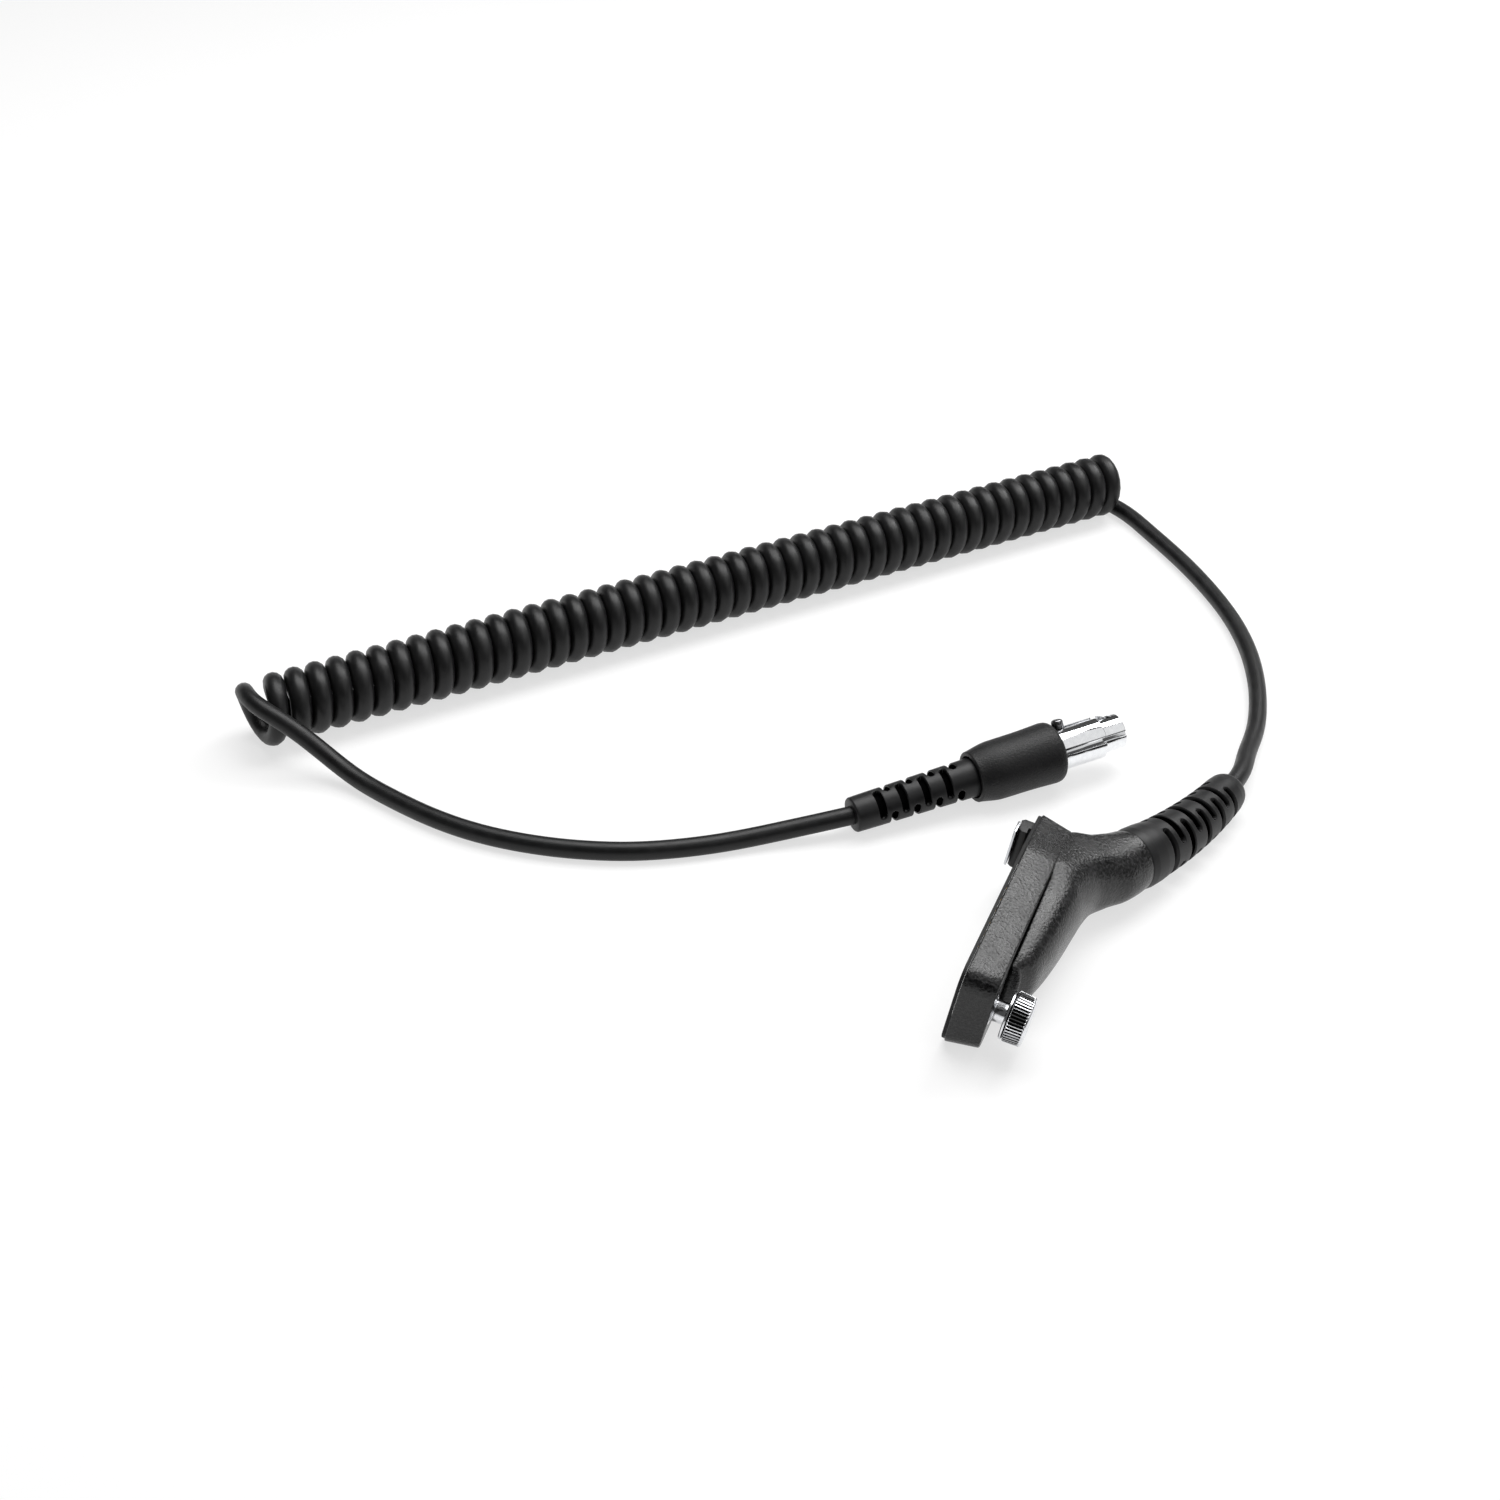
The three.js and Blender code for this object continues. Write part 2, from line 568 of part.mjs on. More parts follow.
function housingRing(station, sides) {
  const { from, up, tall, half, lowPower, highPower, waist, foot, slope } = station;
  const ring = [];
  const bulge = (value, power) => Math.sign(value) * Math.abs(value) ** (2 / power);
  for (let k = 0; k < sides; k += 1) {
    const angle = TAU * k / sides;
    let across;
    let along;
    if (Math.sin(angle) < 0) {
      const depth = -bulge(Math.sin(angle), lowPower);
      across = half * (1 - foot * depth) * bulge(Math.cos(angle), lowPower);
      along = waist * (1 - depth);
    } else {
      // the upper part starts some degrees round, so that it meets the side in a ridge
      const turned = slope + (Math.PI / 2 - slope) * (1 - Math.abs(1 - angle / (Math.PI / 2)));
      const start = bulge(Math.sin(slope), highPower);
      across = half * Math.sign(Math.cos(angle)) * bulge(Math.cos(turned), highPower)
        / bulge(Math.cos(slope), highPower);
      along = waist + (1 - waist) * (bulge(Math.sin(turned), highPower) - start) / (1 - start);
    }
    ring.push(from.clone().addScaledVector(up, tall * along).add(new THREE.Vector3(0, across, 0)));
  }
  return ring;
}

function makeRearHousing() {
  const sides = 28;
  const skin = loft(housingStations(0).map((s) => housingRing(s, sides)));
  const hollow = loft(housingStations(HOUSING_WALL).slice(1, -2).map((s) => housingRing(s, 16)));
  const mouth = roundedSlab(
    blockHalfX, PLATE_HALF - SIDE_DRAFT - PLATE_WALL - 1.4, 2, housingZ - 1, housingZ + HOUSING_WALL + 2.5, BLOCK_X,
  );
  const bore = turnedX([[-12, SPIGOT_R + SEAT], [2, SPIGOT_R + SEAT]], 20).applyMatrix4(exitMatrix());
  return cutAway(skin, [hollow, mouth, bore]);
}

// Places a piece made along +x, with its joint face at x = 0, at the cord exit.
function exitMatrix() {
  const turn = new THREE.Matrix4().makeRotationY(-rad(NECK_ANGLE));
  return turn.setPosition(exitAt);
}

// Middle line of the strain relief: it leaves at the neck's angle and bends back.
function reliefPoint(s) {
  const steps = 24;
  const point = exitAt.clone();
  const length = s / steps;
  for (let i = 0; i < steps; i += 1) {
    const share = (i + 0.5) / steps * s / RELIEF_LENGTH;
    const angle = rad(NECK_ANGLE + (RELIEF_END_ANGLE - NECK_ANGLE) * share);
    point.x += Math.cos(angle) * length;
    point.z += Math.sin(angle) * length;
  }
  return point;
}

function reliefFrame(s) {
  const share = THREE.MathUtils.clamp(s / RELIEF_LENGTH, 0, 1);
  const angle = rad(NECK_ANGLE + (RELIEF_END_ANGLE - NECK_ANGLE) * share);
  const at = s >= 0 ? reliefPoint(s) : exitAt.clone().addScaledVector(exitDir, s);
  return new THREE.Matrix4().makeRotationY(-angle).setPosition(at);
}

function reliefRadius(s) {
  const share = s / RELIEF_LENGTH;
  return THREE.MathUtils.lerp(COLLAR_R, RELIEF_TIP_R, share ** 1.15);
}

function makeStrainRelief() {
  const sides = 18;
  const rings = [];
  const stations = [
    [SEAT, COLLAR_R], [2, COLLAR_R + 0.15], [5, COLLAR_R], [9, reliefRadius(9)], [14, reliefRadius(14)],
    [19, reliefRadius(19)], [24, reliefRadius(24)], [29, reliefRadius(29)], [34, reliefRadius(34)],
    [RELIEF_LENGTH - 2.4, reliefRadius(38)], [RELIEF_LENGTH - 0.9, RELIEF_TIP_R - 0.6],
    [RELIEF_LENGTH, RELIEF_TIP_R - 1.6],
  ];
  for (const [s, r] of stations) {
    const ring = [];
    for (let k = 0; k < sides; k += 1) {
      const angle = TAU * k / sides;
      ring.push(new THREE.Vector3(0, r * Math.cos(angle), r * Math.sin(angle)).applyMatrix4(reliefFrame(s)));
    }
    rings.push(ring);
  }
  const spigot = turnedX([[-SPIGOT_LENGTH, SPIGOT_R], [SEAT + 0.5, SPIGOT_R]], 20).applyMatrix4(exitMatrix());
  const cuts = [];
  for (let i = 0; i < RELIEF_SLOTS; i += 1) {
    const s = RELIEF_COLLAR + i * RELIEF_SLOT_PITCH;
    // each row is a pair of slots on opposite sides, and every other row a quarter turn back
    const first = RELIEF_SLOT_TURN - (i % 2 ? HALF_TURN / 2 : 0);
    for (const middle of [first, first + HALF_TURN]) {
      const band = ringBand(0, RELIEF_SLOT_WIDTH, RELIEF_CORE_R, COLLAR_R + 2, middle, RELIEF_SLOT_SPAN);
      cuts.push(band.applyMatrix4(reliefFrame(s)));
    }
  }
  return cutAway(joined([loft(rings), spigot]), cuts);
}

function makeCrimp() {
  const outer = SPIGOT_R - 0.9;
  const front = -SPIGOT_LENGTH - SEAT;
  return turnedX([[front - CRIMP_LENGTH, outer], [front, outer]], 12)
    .applyMatrix4(exitMatrix());
}

function makeConnector() {
  const group = new THREE.Group();
  part('connector_plate', makePlate(), paint.housing(), group);
  part('rear_housing', makeRearHousing(), paint.housing(), group);
  part('mating_gasket', makeGasket(), paint.rubber(), group);
  part('contact_block', makeContactBlock(), paint.insulator(), group);
  pinSpots().forEach(([x, y], i) => {
    part(`contact_pin_${i + 1}`, makePin(), paint.gold(), group).position.set(x, y, 0);
  });
  const board = roundedSlab(blockHalfX + 1, blockHalfY + 1.4, 0.8, boardZ, boardZ + BOARD_THICK, BLOCK_X);
  part('contact_board', board, paint.board(), group);
  part('hook_block', makeHookBlock(), paint.insulator(), group);
  part('hook_catch', makeCatch(), paint.steel(), group);
  part('screw_bush', makeBush(), paint.chrome(), group).position.x = SCREW_X;
  part('thumbscrew', makeThumbscrew(), paint.darkChrome(), group).position.x = SCREW_X;
  part('screw_clip', makeClip(), paint.steel(), group).position.x = SCREW_X;
  part('strain_relief', makeStrainRelief(), paint.rubber(), group);
  part('cord_crimp', makeCrimp(), paint.brass(), group);
  return group;
}

// The connector lies on the table on one drafted long side, on its neck and on the relief.
function layDown(connector) {
  connector.rotation.set(Math.PI / 2 + rad(LEAN), -rad(HOOK_RISE), rad(HEADING), 'ZYX');
  connector.updateMatrixWorld(true);
  const extent = new THREE.Box3().setFromObject(connector, true);
  connector.position.set(CONNECTOR_AT[0], CONNECTOR_AT[1], -extent.min.z);
  connector.updateMatrixWorld(true);
}

// ---------- curly cord and leads ----------

const coilR = COIL_OUTER_R - CORD_R;
const coilAlong = new THREE.Vector3(Math.cos(rad(COIL_HEADING)), Math.sin(rad(COIL_HEADING)), 0);
const coilFront = new THREE.Vector3(coilAlong.y, -coilAlong.x, 0);
const up = new THREE.Vector3(0, 0, 1);

// A point of the winding; turn 0 is the top of the first even turn, and it climbs at the
// front. Before it lies the one loose turn.
function coilPoint(turn) {
  const angle = TAU * turn + Math.PI / 2;
  const pitch = turn < 0 ? COIL_LOOSE_PITCH : COIL_PITCH;
  return new THREE.Vector3(COIL_START[0], COIL_START[1], COIL_OUTER_R)
    .addScaledVector(coilAlong, turn * pitch)
    .addScaledVector(coilFront, coilR * Math.cos(angle))
    .addScaledVector(up, coilR * Math.sin(angle));
}

function coilDirection(turn) {
  const angle = TAU * turn + Math.PI / 2;
  const pitch = turn < 0 ? COIL_LOOSE_PITCH : COIL_PITCH;
  return new THREE.Vector3()
    .addScaledVector(coilAlong, pitch / TAU)
    .addScaledVector(coilFront, -coilR * Math.sin(angle))
    .addScaledVector(up, coilR * Math.cos(angle))
    .normalize();
}

const coilFirst = -1;
const coilLast = COIL_TURNS + 0.5;
const coilEnds = [
  {
    at: coilPoint(coilFirst).addScaledVector(coilDirection(coilFirst), -COIL_TAIL),
    out: coilDirection(coilFirst).negate(),
  },
  {
    at: coilPoint(coilLast).addScaledVector(coilDirection(coilLast), COIL_TAIL),
    out: coilDirection(coilLast),
  },
];

function ringAcross(at, direction, radius, sides) {
  const side = new THREE.Vector3().crossVectors(direction, coilAlong).normalize();
  const over = new THREE.Vector3().crossVectors(direction, side);
  const ring = [];
  for (let k = 0; k < sides; k += 1) {
    const angle = TAU * k / sides;
    ring.push(at.clone().addScaledVector(side, radius * Math.cos(angle))
      .addScaledVector(over, radius * Math.sin(angle)));
  }
  return ring;
}

function makeCurlyCord() {
  const rings = [ringAcross(coilEnds[0].at, coilDirection(coilFirst), CORD_R, COIL_SIDES)];
  const steps = Math.round((coilLast - coilFirst) * STEPS_PER_TURN);
  for (let i = 0; i <= steps; i += 1) {
    const turn = coilFirst + i / STEPS_PER_TURN;
    rings.push(ringAcross(coilPoint(turn), coilDirection(turn), CORD_R, COIL_SIDES));
  }
  rings.push(ringAcross(coilEnds[1].at, coilDirection(coilLast), CORD_R, COIL_SIDES));
  console.log(`curly cord: least gap to itself ${leastGap(rings).toFixed(2)} mm`);
  return loft(rings);
}

// Least distance between the rings' points that lie half a turn or more apart.
function leastGap(rings) {
  let least = Infinity;
  const apart = STEPS_PER_TURN / 2;
  for (let i = 0; i < rings.length; i += 1) {
    const end = Math.min(rings.length, i + STEPS_PER_TURN * 2);
    for (let j = i + apart; j < end; j += 1) {
      for (const p of rings[i]) {
        for (const q of rings[j]) least = Math.min(least, p.distanceTo(q));
      }
    }
  }
  return least;
}

function makeLead(points) {
  const path = new THREE.CatmullRomCurve3(points, false, 'centripetal');
  const section = new THREE.Shape();
  for (let k = 0; k < LEAD_SIDES; k += 1) {
    const angle = TAU * k / LEAD_SIDES;
    const corner = [CORD_R * Math.cos(angle), CORD_R * Math.sin(angle)];
    if (k === 0) section.moveTo(...corner);
    else section.lineTo(...corner);
  }
  section.closePath();
  const steps = Math.ceil(path.getLength() / LEAD_STEP);
  return new THREE.ExtrudeGeometry(section, { steps, extrudePath: path });
}

function endRun(end) {
  return [
    end.at.clone().addScaledVector(end.out, SEAT),
    end.at.clone().addScaledVector(end.out, SEAT + LEAD_STRAIGHT * 0.5),
  ];
}

function exitRun(end) {
  return [
    end.at.clone().addScaledVector(end.out, SEAT),
    end.at.clone().addScaledVector(end.out, SEAT + LEAD_STRAIGHT),
  ];
}

function routed(route) {
  return route.map((p) => new THREE.Vector3(...p));
}

// ---------- plug ----------

const coverFront = BOOT_LENGTH + COVER_LENGTH;
const shellStep = coverFront + SHELL_REAR;
const noseEnd = shellStep + NOSE_LENGTH;

function makeBoot() {
  const body = turnedX([
    [0, BOOT_REAR_R - 0.3], [0.3, BOOT_REAR_R], [BOOT_LENGTH + BOOT_TAIL, BOOT_FRONT_R],
  ], 18);
  const cuts = [];
  for (let i = 0; i < BOOT_SLOTS; i += 1) {
    const x = BOOT_REAR_COLLAR + i * BOOT_SLOT_PITCH - BOOT_SLOT_WIDTH / 2;
    const first = BOOT_SLOT_TURN + (i % 2 ? HALF_TURN / 2 : 0);
    for (const middle of [first, first + HALF_TURN]) {
      cuts.push(ringBand(x, x + BOOT_SLOT_WIDTH, BOOT_CORE_R, BOOT_FRONT_R + 2, middle, BOOT_SLOT_SPAN, 4));
    }
  }
  return cutAway(body, cuts);
}

function makeCover() {
  const x = BOOT_LENGTH;
  const outside = new THREE.CatmullRomCurve3([
    new THREE.Vector3(x + 0.4, COVER_REAR_R, 0), new THREE.Vector3(x + 6, COVER_REAR_R + 0.95, 0),
    new THREE.Vector3(x + 13, COVER_R - 0.3, 0), new THREE.Vector3(x + COVER_WIDEST, COVER_R, 0),
  ]).getPoints(9).map((p) => [p.x, p.y]);
  const bore = BOOT_FRONT_R + SEAT;
  const inside = COVER_R - COVER_WALL;
  const profile = [
    [x, bore], [x, COVER_REAR_R - 0.4], ...outside, [coverFront - 1.1, COVER_R - 0.15],
    [coverFront - 0.3, COVER_R - 0.6], [coverFront, COVER_R - 1.2], [coverFront, SHELL_R + SEAT],
    [coverFront - SHELL_TAIL - 0.5, SHELL_R + SEAT], [coverFront - SHELL_TAIL - 0.5, bore], [x, bore],
  ];
  if (inside < SHELL_R + SEAT) throw new Error('the cover is too thin for its shell');
  const points = profile.map(([px, r]) => new THREE.Vector2(r, px));
  return new THREE.LatheGeometry(points, 28).rotateZ(-Math.PI / 2);
}

function radial(angle) {
  return new THREE.Matrix4().makeRotationX(rad(angle));
}

// A straight channel along x, on the top side, turned round the axis by an angle.
function channel(x0, x1, width, z0, z1, angle) {
  return box(x0, x1, -width / 2, width / 2, z0, z1).applyMatrix4(radial(angle));
}

function makeShell() {
  const rear = coverFront - SHELL_TAIL;
  const inner = SHELL_R - SHELL_WALL;
  const noseInner = NOSE_R - SHELL_WALL;
  const profile = [
    [rear, inner], [rear, SHELL_R], [shellStep - 0.3, SHELL_R], [shellStep, SHELL_R - 0.25],
    [shellStep, NOSE_R], [noseEnd - 0.3, NOSE_R], [noseEnd, NOSE_R - 0.3], [noseEnd, noseInner],
    [shellStep - SHELL_WALL, noseInner], [shellStep - SHELL_WALL, inner], [rear, inner],
  ].map(([px, r]) => new THREE.Vector2(r, px));
  const tube = new THREE.LatheGeometry(profile, 32).rotateZ(-Math.PI / 2);
  const slot = LATCH_WIDTH + LATCH_CLEAR * 2;
  return cutAway(tube, [
    channel(coverFront - LATCH_REAR - 1, noseEnd - 1.4, slot, 0, SHELL_R + 1, LATCH_ANGLE),
    turnedZ([[0, BUTTON_R + LATCH_CLEAR], [SHELL_R + 1, BUTTON_R + LATCH_CLEAR]], 16)
      .translate(coverFront + BUTTON_SEAT, 0, 0).applyMatrix4(radial(LATCH_ANGLE)),
    channel(coverFront + 0.6, shellStep + 1, KEY_WIDTH, SHELL_R - KEY_DEPTH, SHELL_R + 1, KEY_ANGLE),
    channel(shellStep - 1, noseEnd + 1, KEY_NOSE_WIDTH, NOSE_R - KEY_DEPTH, NOSE_R + 2, KEY_ANGLE),
  ]);
}

const latchTop = NOSE_R - 0.1;    // outer face of the tongue, from the plug's axis

function makeInsert() {
  const rear = coverFront - SHELL_TAIL + 1;
  const back = SHELL_R - SHELL_WALL - SEAT;
  const front = NOSE_R - SHELL_WALL - SEAT;
  const body = turnedX([
    [rear, back], [shellStep - SHELL_WALL - SEAT, back], [shellStep - SHELL_WALL - SEAT, front],
    [noseEnd - INSERT_RECESS, front],
  ], 24);
  const drop = LATCH_NOSE * Math.sin(rad(LATCH_TRAVEL)) + LATCH_CLEAR;
  const groove = channel(
    rear - 1, noseEnd - 1.2, LATCH_WIDTH + LATCH_CLEAR * 2, latchTop - LATCH_THICK - drop, SHELL_R + 1, LATCH_ANGLE,
  );
  const holes = socketSpots().map(([y, z]) => turnedX([[rear - 1, SOCKET_R + 0.2], [noseEnd, SOCKET_R + 0.2]], 8)
    .translate(0, y, z));
  return cutAway(body, [groove, ...holes]);
}

// One socket in the middle of the side away from the latch, the others round a ring.
function socketSpots() {
  const spots = [];
  for (let i = 0; i < SOCKETS; i += 1) {
    const angle = rad(90 + LATCH_ANGLE) + TAU * (i + 0.5) / SOCKETS;
    spots.push([SOCKET_RING_R * Math.cos(angle), SOCKET_RING_R * Math.sin(angle)]);
  }
  return spots;
}

function makeSocket() {
  const rear = coverFront - SHELL_TAIL + 0.5;
  const front = noseEnd - INSERT_RECESS - 0.3;
  const depth = 5;
  return turnedX([
    [rear, SOCKET_R], [front, SOCKET_R], [front, SOCKET_BORE_R], [front - depth, SOCKET_BORE_R],
    [front - depth, 0],
  ], 8);
}

function makeLatchTongue() {
  const rear = coverFront - LATCH_REAR;
  const end = coverFront + LATCH_NOSE;
  const low = latchTop - LATCH_THICK;
  const strip = box(rear, end, -LATCH_WIDTH / 2, LATCH_WIDTH / 2, low, latchTop);
  const side = new THREE.Shape();
  side.moveTo(end - NIB_LENGTH - 0.3, latchTop - 0.1);
  side.lineTo(end - 0.3, latchTop - 0.1);
  side.lineTo(end - 0.5, latchTop + NIB_HIGH * 0.4);
  side.lineTo(end - NIB_LENGTH - 0.3, latchTop + NIB_HIGH);
  side.closePath();
  const width = LATCH_WIDTH * 0.8;
  const nib = new THREE.ExtrudeGeometry(side, { depth: width, bevelEnabled: false })
    .rotateX(Math.PI / 2).translate(0, width / 2, 0);
  return joined([strip, nib]).applyMatrix4(radial(LATCH_ANGLE));
}

function makeLatchButton() {
  const low = latchTop + SEAT;
  const button = turnedZ([
    [low, BUTTON_R - 0.5], [low + 0.5, BUTTON_R], [low + BUTTON_HIGH - 0.4, BUTTON_R],
    [low + BUTTON_HIGH, BUTTON_R - 0.4],
  ], 16);
  return button.translate(coverFront + BUTTON_SEAT, 0, 0).applyMatrix4(radial(LATCH_ANGLE));
}

function makePlug() {
  const group = new THREE.Group();
  part('plug_boot', makeBoot(), paint.rubber(), group);
  part('plug_cover', makeCover(), paint.housing(), group);
  part('plug_shell', makeShell(), paint.chrome(), group);
  part('plug_insert', makeInsert(), paint.insulator(), group);
  socketSpots().forEach(([y, z], i) => {
    part(`plug_socket_${i + 1}`, makeSocket(), paint.gold(), group).position.set(0, y, z);
  });
  part('latch_tongue', makeLatchTongue(), paint.steel(), group);
  part('latch_button', makeLatchButton(), paint.steel(), group);
  // it rests on the boot's rear edge and the cover's widest ring
  const rise = Math.atan2(COVER_R - BOOT_REAR_R, BOOT_LENGTH + COVER_WIDEST);
  group.rotation.set(0, -rise, rad(PLUG_HEADING), 'ZYX');
  group.position.set(PLUG_AT[0], PLUG_AT[1], 0);
  group.updateMatrixWorld(true);
  group.position.z = -new THREE.Box3().setFromObject(group, true).min.z;
  group.updateMatrixWorld(true);
  return group;
}

// ---------- the cable ----------

const root = new THREE.Group();
const connector = makeConnector();
layDown(connector);
const plug = makePlug();
root.add(connector, plug);

const reliefEnd = {
  at: reliefPoint(RELIEF_LENGTH).applyMatrix4(connector.matrixWorld),
  out: new THREE.Vector3(Math.cos(rad(RELIEF_END_ANGLE)), 0, Math.sin(rad(RELIEF_END_ANGLE)))
    .transformDirection(connector.matrixWorld),
};
const bootEnd = {
  at: new THREE.Vector3(0, 0, 0).applyMatrix4(plug.matrixWorld),
  out: new THREE.Vector3(-1, 0, 0).transformDirection(plug.matrixWorld),
};
part('curly_cord', makeCurlyCord(), paint.jacket(), root);
part('lead_connector', makeLead([
  ...exitRun(reliefEnd), ...routed(CONNECTOR_LEAD_ROUTE), ...endRun(coilEnds[1]).reverse(),
]), paint.jacket(), root);
part('lead_plug', makeLead([
  ...endRun(coilEnds[0]), ...routed(PLUG_LEAD_ROUTE), ...exitRun(bootEnd).reverse(),
]), paint.jacket(), root);

export default root;
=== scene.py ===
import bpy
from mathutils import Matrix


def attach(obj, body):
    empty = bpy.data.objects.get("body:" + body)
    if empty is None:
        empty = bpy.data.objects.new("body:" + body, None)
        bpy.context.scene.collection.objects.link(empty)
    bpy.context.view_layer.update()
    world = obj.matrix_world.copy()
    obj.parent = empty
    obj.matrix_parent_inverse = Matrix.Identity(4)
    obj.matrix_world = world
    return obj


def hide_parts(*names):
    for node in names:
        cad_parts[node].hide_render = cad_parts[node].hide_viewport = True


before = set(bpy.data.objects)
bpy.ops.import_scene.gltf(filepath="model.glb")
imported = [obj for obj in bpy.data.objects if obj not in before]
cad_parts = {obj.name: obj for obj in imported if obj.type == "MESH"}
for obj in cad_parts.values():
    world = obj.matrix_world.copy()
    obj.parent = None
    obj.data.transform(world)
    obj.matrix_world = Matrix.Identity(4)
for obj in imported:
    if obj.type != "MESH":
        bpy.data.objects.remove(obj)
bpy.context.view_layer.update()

import math

import bmesh
import bpy
import numpy as np
from mathutils import Matrix, Vector

# Lengths and places are millimetres, as in the part's own drawing, and pieces are made in metres.
# The camera, the floor and the lights are given in metres.
MM = 0.001
TAU = 2 * math.pi
SEAT = 0.3
CORD_R = 2.2

# side connector, its own frame: x along the plate, y across it, z from the mating face back
PLATE_LENGTH, PLATE_HALF, PLATE_THICK, PLATE_WALL, PLATE_EDGE = 59.8, 10.2, 7.0, 1.8, 0.35
PLATE_CORNER, SHOULDER_X, SHOULDER_HALF, SHOULDER_ROUND = 3.8, 43.5, 7.5, 1.2
END_DRAFT, SIDE_DRAFT = 1.05, 0.8
GASKET_WIDTH, GASKET_TOP = 0.9, -0.75
BLOCK_X, BLOCK_HALF_X, BLOCK_HALF_Y, BLOCK_CORNER = 28.5, 12.0, 4.3, 1.2
POCKET_HALF_X, WINDOW_HALF_X, WINDOW_HALF_Y, POCKET_CORNER = 13.6, 12.3, 4.6, 1.5
PIN_PITCH, PIN_ROW_PITCH, PIN_R, PIN_BORE_R, PIN_BORE_RIM = 4.0, 4.6, 0.75, 0.95, 1.35
PIN_SPOTS = [(BLOCK_X + (i - 2.5) * PIN_PITCH, (j - 0.5) * PIN_ROW_PITCH)
             for i in range(6) for j in range(2)]
SCREW_X, HEAD_R, HEAD_TIP_R, HEAD_LENGTH, HEAD_GAP = 5.4, 5.3, 5.1, 4.8, 2.7
NECK_R, SHANK_R, BUSH_R, SCREW_HOLE_R = 2.3, 1.7, 3.3, 3.1
KNURLS, KNURL_DEPTH, HEAD_WAIST = 46, 0.42, 0.6
COLLAR_R, COLLAR_X, COLLAR_Z, NECK_BORE_R = 6.9, 64.2, 20.5, 4.7
NECK_ANGLE, RELIEF_END_ANGLE = 30.0, 12.0
RELIEF_LENGTH, RELIEF_TIP_R, RELIEF_CORE_R = 41.0, 4.7, 3.3
RELIEF_TIP_LENGTH, RELIEF_TIP_ROUND, RELIEF_TAPER = 2.3, 1.9, 1.15
RELIEF_FIRST, RELIEF_SLOTS, RELIEF_PITCH = 7.9, 9, 3.2
RELIEF_SLOT_ANGLES, RELIEF_SLOT_WIDTH, RELIEF_SLOT_SPAN = (75, -20), 1.6, 68
HOOK_X, HOOK_END, HOOK_PROUD, HOOK_HALF = 54.0, 58.2, 3.9, 5.2
STEM_X, STEM_HALF = 56.7, 3.6
CATCH_TOP, CATCH_THICK, CATCH_REACH, CATCH_HALF = -4.3, 0.6, 0.6, 4.9
HEADING, LEAN, HOOK_RISE = 67.8, 10.0, 0.3
CONNECTOR_AT = (-36.0, -39.2, 10.657551)

# plug, its own frame: x from the boot's rear to the nose, z up
PLUG_AT = (-52.4, 32.9, 4.627847)
PLUG_HEADING = 23.2
BOOT_LENGTH, BOOT_REAR_R, BOOT_FRONT_R, BOOT_CORE_R, BOOT_TAIL = 30.5, 4.1, 4.7, 3.0, 5.0
BOOT_FIRST, BOOT_SLOTS, BOOT_PITCH = 6.2, 8, 2.8
BOOT_SLOT_ANGLES, BOOT_SLOT_WIDTH, BOOT_SLOT_SPAN = (-47, 43), 1.7, 52
BOOT_MOULD_LINES = (205, 25)
COVER_LENGTH, COVER_REAR_R, COVER_R, COVER_WIDEST = 22.0, 6.0, 7.3, 20.0
SHELL_R, NOSE_R, SHELL_REAR, NOSE_LENGTH, SHELL_WALL, SHELL_HELD = 5.0, 4.2, 11.4, 5.6, 0.6, 8.9
KEY_ANGLE, KEY_DEPTH, KEY_HALF, NOSE_KEY_HALF = 64.0, 0.5, 0.75, 0.5
LATCH_ANGLE, LATCH_REAR, LATCH_NOSE, LATCH_WIDTH, LATCH_THICK = -28.0, 5.0, 14.2, 2.0, 0.45
COVER_FRONT = BOOT_LENGTH + COVER_LENGTH
SHELL_STEP = COVER_FRONT + SHELL_REAR
NOSE_END = SHELL_STEP + NOSE_LENGTH
BUTTON_X = COVER_FRONT + 2.1
LATCH_TOP = NOSE_R - 0.1

# curly cord and leads
COIL_PITCH, COIL_OUTER_R, COIL_TURNS, COIL_LOOSE_PITCH = 5.18, 8.7, 47, 7.4
COIL_HEADING, COIL_START, COIL_TAIL = 28.24, (-188.7, 70.55), 4.4
COIL_R = COIL_OUTER_R - CORD_R
COIL_SWELL, SWELL_RAMP = 0.33, 0.7    # more radius for the wound cord, reached in this part of a turn
FIRST_TURN, LAST_TURN, TURN_STEPS = -1.0, COIL_TURNS + 0.5, 20
LEAD_REST = CORD_R + 0.05
LEAD_STEP, LEAD_STRAIGHT, TAIL_STRAIGHT, LEAD_HELD = 2.5, 6.0, 3.3, 1.5
CONNECTOR_LEAD_ROUTE = [
    (42.7, 59.9, 3.3), (46.7, 69.7, 2.3), (49.9, 81.7, LEAD_REST), (51.9, 94.7, LEAD_REST),
    (52.5, 106.7, LEAD_REST), (51.8, 118.7, LEAD_REST), (49.9, 130.2, LEAD_REST), (47.2, 141.2, LEAD_REST),
    (43.8, 152.2, LEAD_REST), (39.9, 162.7, LEAD_REST), (35.9, 172.7, LEAD_REST),
]
PLUG_LEAD_ROUTE = [
    (-189.3, 61.2, 14.9), (-185.3, 60.1, 13.0), (-180.7, 58.1, 9.6), (-175.5, 55.3, 6.2),
    (-168.1, 50.2, 3.2), (-157.6, 42.3, LEAD_REST), (-147.7, 35.3, LEAD_REST),
    (-136.3, 29.3, LEAD_REST), (-123.7, 25.2, LEAD_REST), (-111.2, 23.1, LEAD_REST),
    (-98.7, 22.9, LEAD_REST), (-86.7, 24.7, LEAD_REST), (-75.7, 27.4, 2.4), (-66.7, 29.8, 3.1),
]


# ---------- frames ----------

def placed(at, turn):
    return Matrix.Translation(Vector(at)) @ turn


